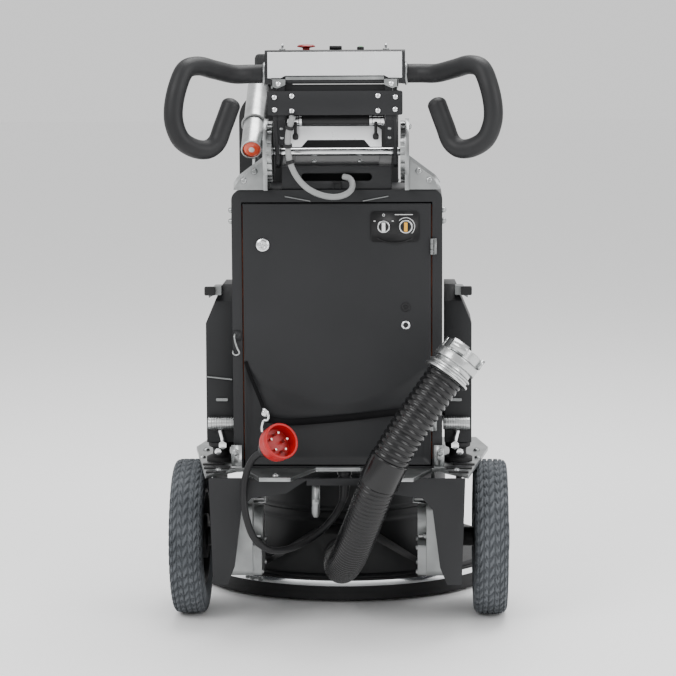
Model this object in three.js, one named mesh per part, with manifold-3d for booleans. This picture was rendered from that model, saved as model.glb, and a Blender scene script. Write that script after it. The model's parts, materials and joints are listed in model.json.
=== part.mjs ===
// Walk-behind planetary concrete grinder. Millimetres, +Z up, +Y towards the grinding head,
// +X to the operator's right. The origin is on the floor under the middle of the machine.
import * as THREE from "three";
import { mergeVertices } from "three/addons/utils/BufferGeometryUtils.js";
import Module from "manifold-3d";

const wasm = await Module();
wasm.setup();

// ---- Driving dimensions ----------------------------------------------------------------
const WHEEL_R = 160; // tyre radius, also the axle height
const WHEEL_W = 70;
const WHEEL_GAP = 27; // between the tyre and the apron's cheek
const RIM_R = 98;
const HUB_R = 46;
const HUB_CAP_R = 34;
const HUB_REACH = 40; // hub cap's face from the tyre's middle
const AXLE_Y = -220;
const CHEEK_OUT = 248; // outer face of the apron's cheeks
const CHEEK_T = 8;

const PLATE_T = 8; // chassis plate, level with the tyres' tops
const APRON_T = 8;

const TOWER_W = 420; // cabinet
const TOWER_H = 560;
const TOWER_DEPTH = 250;
const TOWER_REAR = -357;
const TOWER_CORNER_R = 20;
const TOWER_WALL = 5;
const DOOR_MARGIN = 22.5; // cabinet frame beside the door
const DOOR_FOOT_RISE = 6;
const DOOR_HEAD_DROP = 27;
const DOOR_T = 14;
const DOOR_SKIN = 3;
const DOOR_PROUD = 4;
const DOOR_GAP = 2.5;

const SKIRT_R = 348; // grinding head
const SKIRT_T = 6;
const SKIRT_H = 47;
const SKIRT_LIFT = 5;
const SKIRT_REAR = -148; // the skirt's rear edge
const COVER_T = 8;
const DRUM_WALL = 12;
const SPINDLE_R = 30;
const SATELLITE_GAP = 7.7; // between a satellite and the cover's rim
const SATELLITE_SPACING = 12.3; // between neighbouring satellites
const MOTOR_R = 112;
const MOTOR_H = 264;

const HANDLE_PIVOT_Y = -330;
const CONSOLE_W = 273;
const CONSOLE_H = 66;
const CONSOLE_DEPTH = 125;
const GRIP_D = 37;
const GRIP_SPREAD = 168.5; // grip centre line, sideways from the console's end
const SHAFT_R = 8; // handle pivot
const PIN_R = 10; // head pivot
const WEIGHT_W = 55;
const WEIGHT_GAP = 5; // between a side weight and the cabinet
const WEIGHT_SHAFT_R = 13.5;

const HOSE_D = 76;
const CORD_D = 14;
const CONSOLE_CORD_D = 12;
const FIT = 0.3; // gap between pieces that touch or turn in each other

// ---- Derived levels --------------------------------------------------------------------
const AXLE_Z = WHEEL_R;
const WHEEL_X = CHEEK_OUT + WHEEL_GAP + WHEEL_W / 2;
const PLATE_BOTTOM = 2 * WHEEL_R;
const PLATE_TOP = PLATE_BOTTOM + PLATE_T;
const HALF_TOWER = TOWER_W / 2;
const TOWER_FOOT = PLATE_TOP + FIT;
const TOWER_TOP = PLATE_TOP + TOWER_H;
const TOWER_FRONT = TOWER_REAR + TOWER_DEPTH;
const DOOR_W = TOWER_W - 2 * DOOR_MARGIN;
const DOOR_FOOT = PLATE_TOP + DOOR_FOOT_RISE;
const DOOR_TOP = TOWER_TOP - DOOR_HEAD_DROP;
const DOOR_FACE = TOWER_REAR - DOOR_PROUD;
const PIVOT_Z = TOWER_TOP + 74;
const CONSOLE_FOOT = PIVOT_Z + 136;
const CONSOLE_TOP = CONSOLE_FOOT + CONSOLE_H;
const CONSOLE_REAR = HANDLE_PIVOT_Y - 95;
const HALF_CONSOLE = CONSOLE_W / 2;
const GRIP_REACH = HALF_CONSOLE + GRIP_SPREAD;
const HEAD_Y = SKIRT_REAR + SKIRT_R;
const COVER_TOP = SKIRT_H + COVER_T + SKIRT_LIFT;
const COVER_R = SKIRT_R - SKIRT_T - FIT;
const COVER_IN = COVER_R - COVER_T;
const ROOT_3 = Math.sqrt(3);
const SATELLITE_R =
  (COVER_IN - SATELLITE_GAP - SATELLITE_SPACING / ROOT_3) / (1 + 2 / ROOT_3);
const SATELLITE_ORBIT = (2 * SATELLITE_R + SATELLITE_SPACING) / ROOT_3;
const CARRIER_R = SATELLITE_ORBIT + SPINDLE_R + 6;
const DRUM_R = CARRIER_R + 4 + DRUM_WALL;
const HEAD_ARM_IN = 173;
const HEAD_ARM_T = 12;
const LUG_IN = HEAD_ARM_IN + HEAD_ARM_T + 3;
const LUG_T = 8;
const HEAD_PIVOT_Y = -110;
const HEAD_PIVOT_Z = 230;
const WEIGHT_PIVOT_Y = -180;
const WEIGHT_PIVOT_Z = PLATE_TOP + 80;

// ---- Materials -------------------------------------------------------------------------
function paint(color, roughness, metalness) {
  return new THREE.MeshStandardMaterial({ color, roughness, metalness });
}
const BLACK_PAINT = paint(0x2b2d30, 0.45, 0.1);
const SATIN_BLACK = paint(0x1b1c1e, 0.5, 0.0);
const GRIP_RUBBER = paint(0x232528, 0.7, 0.0);
const ZINC = paint(0xb9bdbf, 0.4, 0.85);
const CHROME = paint(0xd8dadb, 0.15, 1.0);
const CAST_ALUMINIUM = paint(0xa8abad, 0.5, 0.8);
const GREY_TYRE = paint(0x7a7f85, 0.85, 0.0);
const WHITE_SHEET = paint(0xe4e6e7, 0.4, 0.3);
const RED_PLASTIC = paint(0xc81418, 0.35, 0.0);
const GREY_CABLE = paint(0xa4a6a6, 0.6, 0.0);
const BLACK_CABLE = paint(0x16171a, 0.55, 0.0);
const HOSE_PLASTIC = paint(0x17181b, 0.3, 0.0);
const YELLOW = paint(0xe0a820, 0.4, 0.0);

// ---- Geometry helpers ------------------------------------------------------------------

// Shared vertices merged, collapsed triangles removed and the faces turned outwards.
function clean(geometry) {
  const bare = new THREE.BufferGeometry();
  bare.setAttribute("position", geometry.getAttribute("position").clone());
  if (geometry.index) bare.setIndex(geometry.index.clone());
  const merged = mergeVertices(bare, 1e-3);
  const index = merged.index.array;
  const position = merged.getAttribute("position");
  const kept = [];
  const a = new THREE.Vector3();
  const b = new THREE.Vector3();
  const c = new THREE.Vector3();
  let volume = 0;
  for (let i = 0; i < index.length; i += 3) {
    const [p, q, r] = [index[i], index[i + 1], index[i + 2]];
    if (p === q || q === r || r === p) continue;
    kept.push(p, q, r);
    a.fromBufferAttribute(position, p);
    b.fromBufferAttribute(position, q);
    c.fromBufferAttribute(position, r);
    volume += a.dot(b.cross(c));
  }
  if (volume < 0) {
    for (let i = 0; i < kept.length; i += 3) {
      [kept[i + 1], kept[i + 2]] = [kept[i + 2], kept[i + 1]];
    }
  }
  merged.setIndex(kept);
  return merged;
}

function toSolid(geometry) {
  const merged = clean(geometry);
  const mesh = new wasm.Mesh({
    numProp: 3,
    vertProperties: new Float32Array(merged.getAttribute("position").array),
    triVerts: new Uint32Array(merged.index.array),
  });
  return new wasm.Manifold(mesh);
}

function toGeometry(solid) {
  const mesh = solid.getMesh();
  const geometry = new THREE.BufferGeometry();
  geometry.setAttribute("position", new THREE.BufferAttribute(mesh.vertProperties, 3));
  geometry.setIndex(new THREE.BufferAttribute(mesh.triVerts, 1));
  return geometry;
}

function join(first, ...others) {
  let solid = toSolid(first);
  for (const other of others) solid = solid.add(toSolid(other));
  return toGeometry(solid);
}

function cut(first, ...others) {
  let solid = toSolid(first);
  for (const other of others) solid = solid.subtract(toSolid(other));
  return toGeometry(solid);
}

function common(first, other) {
  return toGeometry(toSolid(first).intersect(toSolid(other)));
}

// A box from its lowest corner to its highest corner.
function block(x0, x1, y0, y1, z0, z1) {
  const geometry = new THREE.BoxGeometry(x1 - x0, y1 - y0, z1 - z0);
  return geometry.translate((x0 + x1) / 2, (y0 + y1) / 2, (z0 + z1) / 2);
}

function outline(points) {
  return new THREE.Shape(points.map(([x, y]) => new THREE.Vector2(x, y)));
}

function roundedRect(x0, x1, y0, y1, r) {
  const shape = new THREE.Shape();
  shape.moveTo(x0 + r, y0);
  shape.lineTo(x1 - r, y0);
  shape.absarc(x1 - r, y0 + r, r, -Math.PI / 2, 0, false);
  shape.lineTo(x1, y1 - r);
  shape.absarc(x1 - r, y1 - r, r, 0, Math.PI / 2, false);
  shape.lineTo(x0 + r, y1);
  shape.absarc(x0 + r, y1 - r, r, Math.PI / 2, Math.PI, false);
  shape.lineTo(x0, y0 + r);
  shape.absarc(x0 + r, y0 + r, r, Math.PI, 1.5 * Math.PI, false);
  return shape;
}

function extrude(shape, depth, curveSegments = 5) {
  return new THREE.ExtrudeGeometry(shape, { depth, bevelEnabled: false, curveSegments });
}

// A shape drawn in plan (x, y), from z0 to z1.
function lying(shape, z0, z1, curveSegments) {
  return extrude(shape, z1 - z0, curveSegments).translate(0, 0, z0);
}

// A shape drawn as seen from the rear (x, z), from y0 to y1.
function standing(shape, y0, y1, curveSegments) {
  return extrude(shape, y1 - y0, curveSegments).rotateX(Math.PI / 2).translate(0, y1, 0);
}

// A shape drawn as seen from the side (y, z), from x0 to x1.
function sideways(shape, x0, x1, curveSegments) {
  const geometry = extrude(shape, x1 - x0, curveSegments);
  const turn = new THREE.Matrix4().set(0, 0, 1, x0, 1, 0, 0, 0, 0, 1, 0, 0, 0, 0, 0, 1);
  return geometry.applyMatrix4(turn);
}

function mirrored(points) {
  return points.map(([x, ...rest]) => [-x, ...rest]);
}

function rodX(r, x0, x1, y, z, sides = 20) {
  const geometry = new THREE.CylinderGeometry(r, r, x1 - x0, sides);
  return geometry.rotateZ(Math.PI / 2).translate((x0 + x1) / 2, y, z);
}

function rodY(r, x, y0, y1, z, sides = 20) {
  return new THREE.CylinderGeometry(r, r, y1 - y0, sides).translate(x, (y0 + y1) / 2, z);
}

function rodZ(r, x, y, z0, z1, sides = 20) {
  const geometry = new THREE.CylinderGeometry(r, r, z1 - z0, sides);
  return geometry.rotateX(Math.PI / 2).translate(x, y, (z0 + z1) / 2);
}

// A turned piece: the profile is (radius, distance along the axis).
function turned(profile, sides) {
  const points = profile.map(([r, h]) => new THREE.Vector2(r, h));
  return new THREE.LatheGeometry(points, sides);
}

function turnedZ(profile, sides, x, y) {
  return turned(profile, sides).rotateX(Math.PI / 2).translate(x, y, 0);
}

// A round bar or cable along a smooth curve through the points.
function swept(points, diameter, steps, sides) {
  const ring = [];
  for (let i = 0; i < sides; i += 1) {
    const turn = (2 * Math.PI * i) / sides;
    ring.push([(diameter / 2) * Math.cos(turn), (diameter / 2) * Math.sin(turn)]);
  }
  const path = new THREE.CatmullRomCurve3(points.map((p) => new THREE.Vector3(...p)));
  return new THREE.ExtrudeGeometry(outline(ring), { steps, extrudePath: path });
}

const group = new THREE.Group();
function piece(name, geometry, material) {
  const mesh = new THREE.Mesh(clean(geometry), material);
  mesh.name = name;
  group.add(mesh);
}

// ---- Chassis plate: zinc sheet with two rearward tongues and two pivot lugs -------------
const halfPlate = [
  [45, TOWER_REAR],
  [90, TOWER_REAR - 112],
  [152, TOWER_REAR - 112],
  [189, TOWER_REAR - 5],
  [205, TOWER_REAR - 10],
  [HALF_TOWER + 51, TOWER_REAR - 79],
  [HALF_TOWER + 99, TOWER_REAR + 252],
  [HALF_TOWER + 77, TOWER_REAR + 379],
];
const plateOutline = outline([...halfPlate, ...mirrored(halfPlate).reverse()]);
const LUG_FOOT = PLATE_BOTTOM + 2;
const LUG_HALF = 40;
const LUG_R = 22; // round the head pivot
const lugOutline = outline([
  [HEAD_PIVOT_Y - LUG_HALF, LUG_FOOT],
  [HEAD_PIVOT_Y - LUG_R + 4, HEAD_PIVOT_Z - LUG_R + 10],
  [HEAD_PIVOT_Y, HEAD_PIVOT_Z - LUG_R],
  [HEAD_PIVOT_Y + LUG_R - 4, HEAD_PIVOT_Z - LUG_R + 10],
  [HEAD_PIVOT_Y + LUG_HALF, LUG_FOOT],
]);
// The span from a to b from the middle outwards, on one side of the machine.
function outwards(side, a, b) {
  return side > 0 ? [a, b] : [-b, -a];
}
function lugAndPin(side) {
  const pinSpan = outwards(side, HEAD_ARM_IN - 1, LUG_IN + LUG_T / 2);
  return join(
    sideways(lugOutline, ...outwards(side, LUG_IN, LUG_IN + LUG_T)),
    rodX(PIN_R, ...pinSpan, HEAD_PIVOT_Y, HEAD_PIVOT_Z),
  );
}
piece("base_plate", join(
  lying(plateOutline, PLATE_BOTTOM, PLATE_TOP), lugAndPin(-1), lugAndPin(1),
), ZINC);

// ---- Rear apron: arched plate with two legs, and side cheeks that carry the axle --------
const APRON_REAR = TOWER_REAR - 77;
const LEG_FOOT = AXLE_Z - 55;
const halfApron = [
  [54, PLATE_BOTTOM - FIT],
  [69, PLATE_BOTTOM - 9],
  [100, PLATE_BOTTOM - 30],
  [170, PLATE_BOTTOM - 40],
  [CHEEK_OUT - 58, PLATE_BOTTOM - 63],
  [CHEEK_OUT - 43, AXLE_Z - 20],
  [CHEEK_OUT - 29, LEG_FOOT],
  [CHEEK_OUT, LEG_FOOT],
  [CHEEK_OUT + 7, PLATE_BOTTOM - FIT],
];
const cheekOutline = outline([
  [APRON_REAR + 2, LEG_FOOT],
  [AXLE_Y - 40, LEG_FOOT + 3],
  [AXLE_Y + 45, LEG_FOOT + 15],
  [AXLE_Y + 75, AXLE_Z + 30],
  [AXLE_Y + 75, PLATE_BOTTOM - FIT],
  [APRON_REAR + 2, PLATE_BOTTOM - FIT],
]);
function apronHalf(side) {
  const leg = side > 0 ? halfApron : mirrored(halfApron);
  return join(
    standing(outline(leg), APRON_REAR, APRON_REAR + APRON_T),
    sideways(cheekOutline, ...outwards(side, CHEEK_OUT - CHEEK_T, CHEEK_OUT)),
  );
}
const apronTop = block(
  -60, 60, APRON_REAR, APRON_REAR + APRON_T, PLATE_BOTTOM - 14, PLATE_BOTTOM - FIT,
);
const STUB_R = 20; // wheel's stub shaft
piece("rear_apron", cut(
  join(apronHalf(1), apronHalf(-1), apronTop),
  rodX(STUB_R + 3, -CHEEK_OUT - 20, CHEEK_OUT + 20, AXLE_Y, AXLE_Z),
), BLACK_PAINT);

// ---- Wheel drives: cast aluminium gearboxes inside the cheeks ---------------------------
const DRIVE_IN = 160;
const DRIVE_OUT = CHEEK_OUT - CHEEK_T - FIT;
const STUB_DEPTH = 28; // stub shaft inside the gearbox
function drive(side) {
  const span = (a, b) => outwards(side, a, b);
  const body = roundedRect(AXLE_Y - 76, AXLE_Y + 70, AXLE_Z - 70, AXLE_Z + 80, 14);
  const foot = roundedRect(AXLE_Y - 70, AXLE_Y + 40, AXLE_Z - 70, AXLE_Z - 4, 8);
  return cut(
    join(
      sideways(body, ...span(DRIVE_IN + 18, DRIVE_OUT), 2),
      sideways(foot, ...span(DRIVE_IN, DRIVE_IN + 30), 2),
      rodX(38, ...span(DRIVE_IN, DRIVE_IN + 30), AXLE_Y, AXLE_Z + 30),
    ),
    rodX(STUB_R + 1, ...span(DRIVE_OUT - STUB_DEPTH - 2, DRIVE_OUT + 10), AXLE_Y, AXLE_Z),
  );
}
piece("drive_left", drive(-1), CAST_ALUMINIUM);
piece("drive_right", drive(1), CAST_ALUMINIUM);

// ---- Wheels: dished rim with its stub shaft, and a non-marking tyre ---------------------
const STUB_END = DRIVE_OUT - STUB_DEPTH - WHEEL_X;
const HUB_BACK = 1 - WHEEL_W / 2;
const rimProfile = [
  [0, STUB_END],
  [STUB_R, STUB_END],
  [STUB_R, HUB_BACK],
  [HUB_R, HUB_BACK],
  [HUB_R, -10],
  [RIM_R - 8, -10],
  [RIM_R - 8, -WHEEL_W / 2 + 4],
  [RIM_R, -WHEEL_W / 2 + 4],
  [RIM_R, WHEEL_W / 2 - 4],
  [RIM_R - 8, WHEEL_W / 2 - 4],
  [RIM_R - 8, 12],
  [HUB_CAP_R, 14],
  [HUB_CAP_R - 4, HUB_REACH],
  [0, HUB_REACH],
];
const tyreProfile = [
  [RIM_R + FIT, -WHEEL_W / 2 + 6],
  [WHEEL_R - 32, -WHEEL_W / 2],
  [WHEEL_R - 14, -WHEEL_W / 2 + 2],
  [WHEEL_R - 4, -WHEEL_W / 2 + 11],
  [WHEEL_R, -11],
  [WHEEL_R, 11],
  [WHEEL_R - 4, WHEEL_W / 2 - 11],
  [WHEEL_R - 14, WHEEL_W / 2 - 2],
  [WHEEL_R - 32, WHEEL_W / 2],
  [RIM_R + FIT, WHEEL_W / 2 - 6],
  [RIM_R + FIT, -WHEEL_W / 2 + 6],
];
// Profile distances run outwards from the wheel's middle plane.
function wheelPart(profile, side) {
  const turn = side > 0 ? -Math.PI / 2 : Math.PI / 2;
  return turned(profile, 28).rotateZ(turn).translate(side * WHEEL_X, AXLE_Y, AXLE_Z);
}
piece("rim_left", wheelPart(rimProfile, -1), BLACK_PAINT);
piece("rim_right", wheelPart(rimProfile, 1), BLACK_PAINT);
piece("tyre_left", wheelPart(tyreProfile, -1), GREY_TYRE);
piece("tyre_right", wheelPart(tyreProfile, 1), GREY_TYRE);

// ---- Cabinet: folded shell, open behind the door ----------------------------------------
const towerOutline = new THREE.Shape();
towerOutline.moveTo(-HALF_TOWER, TOWER_FOOT);
towerOutline.lineTo(HALF_TOWER, TOWER_FOOT);
towerOutline.lineTo(HALF_TOWER, TOWER_TOP - TOWER_CORNER_R);
towerOutline.absarc(
  HALF_TOWER - TOWER_CORNER_R, TOWER_TOP - TOWER_CORNER_R, TOWER_CORNER_R, 0, Math.PI / 2, false,
);
towerOutline.lineTo(-HALF_TOWER + TOWER_CORNER_R, TOWER_TOP);
towerOutline.absarc(
  -HALF_TOWER + TOWER_CORNER_R, TOWER_TOP - TOWER_CORNER_R, TOWER_CORNER_R,
  Math.PI / 2, Math.PI, false,
);
const CABLE_HOLE_Z = TOWER_TOP - 8;
piece("tower_shell", cut(
  standing(towerOutline, TOWER_REAR, TOWER_FRONT),
  standing(
    roundedRect(
      TOWER_WALL - HALF_TOWER, HALF_TOWER - TOWER_WALL, TOWER_FOOT + 3, TOWER_TOP - 6,
      TOWER_CORNER_R - 6,
    ),
    TOWER_REAR + 6, TOWER_FRONT - TOWER_WALL, 3,
  ),
  block(
    -DOOR_W / 2 - DOOR_GAP, DOOR_W / 2 + DOOR_GAP, TOWER_REAR - 10, TOWER_REAR + 20,
    DOOR_FOOT - DOOR_GAP, DOOR_TOP + DOOR_GAP,
  ),
  rodX(
    WEIGHT_SHAFT_R + 0.5, -HALF_TOWER - 20, HALF_TOWER + 20, WEIGHT_PIVOT_Y, WEIGHT_PIVOT_Z,
  ),
  block(-60, 60, TOWER_REAR + 40, TOWER_REAR + 70, CABLE_HOLE_Z, TOWER_TOP + 5),
), BLACK_PAINT);

// Drive inverter on the cabinet's front wall.
const INVERTER_HALF = 120;
const inverterBody = block(
  -INVERTER_HALF, INVERTER_HALF, TOWER_FRONT - 130, TOWER_FRONT - TOWER_WALL - FIT,
  TOWER_FOOT + 150, TOWER_FOOT + 470,
);
const inverterSlots = [-75, -45, -15, 15, 45, 75].map(
  (x) => block(
    x - 6, x + 6, TOWER_FRONT - 60, TOWER_FRONT - 20, TOWER_FOOT + 140, TOWER_FOOT + 480,
  ),
);
piece("inverter", cut(inverterBody, ...inverterSlots), CAST_ALUMINIUM);

// ---- Cabinet door with its lock and switches --------------------------------------------
const doorSkin = standing(
  roundedRect(-DOOR_W / 2, DOOR_W / 2, DOOR_FOOT, DOOR_TOP, 3), DOOR_FACE, DOOR_FACE + DOOR_T, 2,
);
const LOCK_X = -DOOR_W / 2 + 40;
const LOCK_Z = DOOR_TOP - 82;
const SWITCH_X = DOOR_W / 2 - 72;
const SWITCH_Z = DOOR_TOP - 46;
const doorPan = block(
  -DOOR_W / 2 + DOOR_SKIN, DOOR_W / 2 - DOOR_SKIN, DOOR_FACE + DOOR_SKIN,
  DOOR_FACE + DOOR_T + 5, DOOR_FOOT + DOOR_SKIN, DOOR_TOP - DOOR_SKIN,
);
const STEM_R = 7.5; // lock and knob stems
const STEM_HOLE_R = 8;
const knobHoles = [-22, 22].map(
  (dx) => rodY(STEM_HOLE_R, SWITCH_X + dx, DOOR_FACE - 8, DOOR_FACE + 9, SWITCH_Z, 12),
);
piece("door", cut(
  doorSkin, doorPan, ...knobHoles,
  rodY(STEM_HOLE_R, LOCK_X, DOOR_FACE - 5, DOOR_FACE + 9, LOCK_Z, 12),
), BLACK_PAINT);
const TONGUE_Y = DOOR_FACE + DOOR_T + 2;
piece("cam_lock", join(
  rodY(14, LOCK_X, DOOR_FACE - 9, DOOR_FACE - FIT, LOCK_Z, 16),
  rodY(STEM_R, LOCK_X, DOOR_FACE - 2, TONGUE_Y, LOCK_Z, 12),
  block(LOCK_X - 30, LOCK_X + STEM_R, TONGUE_Y - 0.5, TONGUE_Y + 3, LOCK_Z - 7, LOCK_Z + 7),
), CHROME);

const switchOutline = roundedRect(SWITCH_X - 48, SWITCH_X + 48, SWITCH_Z - 30, SWITCH_Z + 30, 8);
piece("switch_plate", cut(
  standing(switchOutline, DOOR_FACE - 3, DOOR_FACE - FIT, 3), ...knobHoles,
), SATIN_BLACK);
function knob(x, capR) {
  return join(
    rodY(STEM_R, x, DOOR_FACE - 5, DOOR_FACE + 10, SWITCH_Z, 12),
    rodY(capR, x, DOOR_FACE - 14, DOOR_FACE - 3 - FIT, SWITCH_Z, 16),
    block(x - 3, x + 3, DOOR_FACE - 18, DOOR_FACE - 10, SWITCH_Z - capR + 3, SWITCH_Z + capR - 3),
  );
}
piece("mode_knob", knob(SWITCH_X - 22, 13), CHROME);
piece("speed_knob", knob(SWITCH_X + 22, 14), YELLOW);

// Two hinges: a barrel outside the gap and a leaf on the cabinet frame.
const HINGE_X = DOOR_W / 2 + 1.5;
const HINGE_Y = DOOR_FACE - 4.5;
function hinge(z) {
  return join(
    rodZ(4, HINGE_X, HINGE_Y, z - 16, z + 16, 12),
    block(HINGE_X, HINGE_X + 17, HINGE_Y - 1, HINGE_Y + 2, z - 16, z + 16),
    block(HINGE_X + 4, HINGE_X + 17, HINGE_Y, TOWER_REAR - FIT, z - 16, z + 16),
  );
}
piece("hinge_upper", hinge(DOOR_TOP - 86), CHROME);
piece("hinge_lower", hinge(DOOR_FOOT + 86), CHROME);

// ---- Handle mounting: folded bracket and two toothed quadrants on the cabinet roof ------
const BRACKET_W = 218;
const ROOF = TOWER_TOP + FIT;
const foldOutline = outline([
  [HANDLE_PIVOT_Y - 22, ROOF],
  [HANDLE_PIVOT_Y - 16, ROOF],
  [HANDLE_PIVOT_Y - 16, PIVOT_Z - 32],
  [HANDLE_PIVOT_Y + 34, PIVOT_Z - 15],
  [HANDLE_PIVOT_Y + 34, ROOF],
  [HANDLE_PIVOT_Y + 40, ROOF],
  [HANDLE_PIVOT_Y + 40, PIVOT_Z - 8],
  [HANDLE_PIVOT_Y - 22, PIVOT_Z - 28],
]);
const SLOT_W = 140;
const SLOT_Z = TOWER_TOP + 25;
piece("top_bracket", cut(
  sideways(foldOutline, -BRACKET_W / 2, BRACKET_W / 2),
  standing(
    roundedRect(-SLOT_W / 2, SLOT_W / 2, SLOT_Z - 7.5, SLOT_Z + 7.5, 7),
    HANDLE_PIVOT_Y - 30, HANDLE_PIVOT_Y - 6, 3,
  ),
), BLACK_PAINT);

const QUADRANT_R = 66;
const QUADRANT_IN = 136; // inner face of the upright plate
const QUADRANT_OUT = QUADRANT_IN + 8;
const TOOTH_REACH = 9; // teeth, inwards from the upright plate
const TEETH = 9;
const TOOTH_PITCH = (16 * Math.PI) / 180;
function quadrant(side) {
  const span = (a, b) => outwards(side, a, b);
  const plate = span(QUADRANT_IN, QUADRANT_OUT);
  const teeth = span(QUADRANT_IN - TOOTH_REACH, QUADRANT_IN + 1);
  const disc = rodX(QUADRANT_R, ...plate, HANDLE_PIVOT_Y, PIVOT_Z, 32);
  const foot = block(...plate, HANDLE_PIVOT_Y - 50, HANDLE_PIVOT_Y + 60, ROOF, PIVOT_Z);
  const ring = rodX(QUADRANT_R - 4, ...teeth, HANDLE_PIVOT_Y, PIVOT_Z, 32);
  const notches = [];
  for (let i = 0; i < TEETH; i += 1) {
    const turn = (i - (TEETH - 1) / 2) * TOOTH_PITCH;
    const notch = new THREE.BoxGeometry(14, 12, 8).translate(0, -QUADRANT_R + 4, 0);
    notch.rotateX(-turn).translate(side * (QUADRANT_IN - 7), HANDLE_PIVOT_Y, PIVOT_Z);
    notches.push(notch);
  }
  const gusset = outline([
    [side * (QUADRANT_OUT - 1), PIVOT_Z - 6],
    [side * (QUADRANT_OUT - 1), ROOF],
    [side * (HALF_TOWER - 4), ROOF],
    [side * (HALF_TOWER - 4), ROOF + 14],
    [side * (HALF_TOWER - 14), ROOF + 28],
  ]);
  const boreSpan = span(QUADRANT_IN - 16, QUADRANT_OUT + 6);
  const bore = rodX(SHAFT_R + FIT, ...boreSpan, HANDLE_PIVOT_Y, PIVOT_Z, 20);
  const toothed = cut(ring, ...notches);
  const strap = standing(gusset, HANDLE_PIVOT_Y - 10, HANDLE_PIVOT_Y - 2);
  return cut(join(disc, foot, toothed, strap), bore);
}
piece("quadrant_left", quadrant(-1), ZINC);
piece("quadrant_right", quadrant(1), ZINC);

// ---- Handle: two side arms on a pivot shaft, cross plate, console and grips -------------
const ARM_IN = 113;
const ARM_OUT = ARM_IN + 8;
const ARM_REAR = CONSOLE_REAR + 2;
const armOutline = outline([
  [ARM_REAR, CONSOLE_FOOT - FIT],
  [ARM_REAR, PIVOT_Z + 68],
  [HANDLE_PIVOT_Y - 32, PIVOT_Z - 2],
  [HANDLE_PIVOT_Y - 22, PIVOT_Z - 24],
  [HANDLE_PIVOT_Y, PIVOT_Z - 32],
  [HANDLE_PIVOT_Y + 22, PIVOT_Z - 24],
  [HANDLE_PIVOT_Y + 32, PIVOT_Z],
  [HANDLE_PIVOT_Y, PIVOT_Z + 68],
  [HANDLE_PIVOT_Y - 20, CONSOLE_FOOT - FIT],
]);
function arm(side) {
  const [x0, x1] = outwards(side, ARM_IN, ARM_OUT);
  const bore = rodX(SHAFT_R + FIT, x0 - 5, x1 + 5, HANDLE_PIVOT_Y, PIVOT_Z, 20);
  return cut(sideways(armOutline, x0, x1), bore);
}
piece("arm_left", arm(-1), BLACK_PAINT);
piece("arm_right", arm(1), BLACK_PAINT);
const SHAFT_HALF = QUADRANT_IN + 4;
piece("pivot_shaft", rodX(
  SHAFT_R, -SHAFT_HALF, SHAFT_HALF, HANDLE_PIVOT_Y, PIVOT_Z, 20,
), CHROME);
const CROSS_HALF = ARM_OUT + 11;
const CROSS_T = 5;
const CROSS_REAR = ARM_REAR - FIT - CROSS_T;
piece("cross_plate", standing(
  roundedRect(-CROSS_HALF, CROSS_HALF, PIVOT_Z + 76, PIVOT_Z + 123, 4),
  CROSS_REAR, CROSS_REAR + CROSS_T, 2,
), BLACK_PAINT);

const consoleOutline = roundedRect(
  CONSOLE_REAR, CONSOLE_REAR + CONSOLE_DEPTH, CONSOLE_FOOT, CONSOLE_TOP, 8,
);
const CONTROL_Y = CONSOLE_REAR + 58;
const CONTROLS = [-105, -58, 0, 49, 99];
const controlHoles = CONTROLS.map(
  (x) => rodZ(8, x, CONTROL_Y, CONSOLE_TOP - 14, CONSOLE_TOP + 5, 12),
);
const CONSOLE_WALL = 5;
const consoleHollow = block(
  CONSOLE_WALL - HALF_CONSOLE, HALF_CONSOLE - CONSOLE_WALL,
  CONSOLE_REAR + CONSOLE_WALL, CONSOLE_REAR + CONSOLE_DEPTH - CONSOLE_WALL,
  CONSOLE_FOOT - 5, CONSOLE_TOP - CONSOLE_WALL - 1,
);
piece("console_shell", cut(
  sideways(consoleOutline, -HALF_CONSOLE, HALF_CONSOLE, 3), consoleHollow, ...controlHoles,
), BLACK_PAINT);

const GRIP_Z = CONSOLE_FOOT + 20;
const gripLine = [
  [HALF_CONSOLE + FIT, CONSOLE_REAR + 28, GRIP_Z],
  [HALF_CONSOLE + 14, CONSOLE_REAR + 28, GRIP_Z],
  [GRIP_REACH - 137, CONSOLE_REAR + 26, GRIP_Z],
  [GRIP_REACH - 108, CONSOLE_REAR + 12, GRIP_Z],
  [GRIP_REACH - 73, CONSOLE_REAR - 22, GRIP_Z + 9],
  [GRIP_REACH - 43, CONSOLE_REAR - 60, GRIP_Z + 17],
  [GRIP_REACH - 22, CONSOLE_REAR - 86, GRIP_Z + 10],
  [GRIP_REACH - 8, CONSOLE_REAR - 101, GRIP_Z - 23],
  [GRIP_REACH, CONSOLE_REAR - 106, GRIP_Z - 65],
  [GRIP_REACH - 2, CONSOLE_REAR - 106, GRIP_Z - 95],
  [GRIP_REACH - 15, CONSOLE_REAR - 103, GRIP_Z - 124],
  [GRIP_REACH - 40, CONSOLE_REAR - 94, GRIP_Z - 140],
  [GRIP_REACH - 63, CONSOLE_REAR - 82, GRIP_Z - 142],
  [GRIP_REACH - 79, CONSOLE_REAR - 72, GRIP_Z - 130],
  [GRIP_REACH - 91, CONSOLE_REAR - 66, GRIP_Z - 100],
  [GRIP_REACH - 111, CONSOLE_REAR - 58, GRIP_Z - 46],
];
const GRIP_STEPS = 26;
const SWEPT_SIDES = 8;
piece("grip_right", swept(gripLine, GRIP_D, GRIP_STEPS, SWEPT_SIDES), GRIP_RUBBER);
piece("grip_left", swept(mirrored(gripLine), GRIP_D, GRIP_STEPS, SWEPT_SIDES), GRIP_RUBBER);

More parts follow.
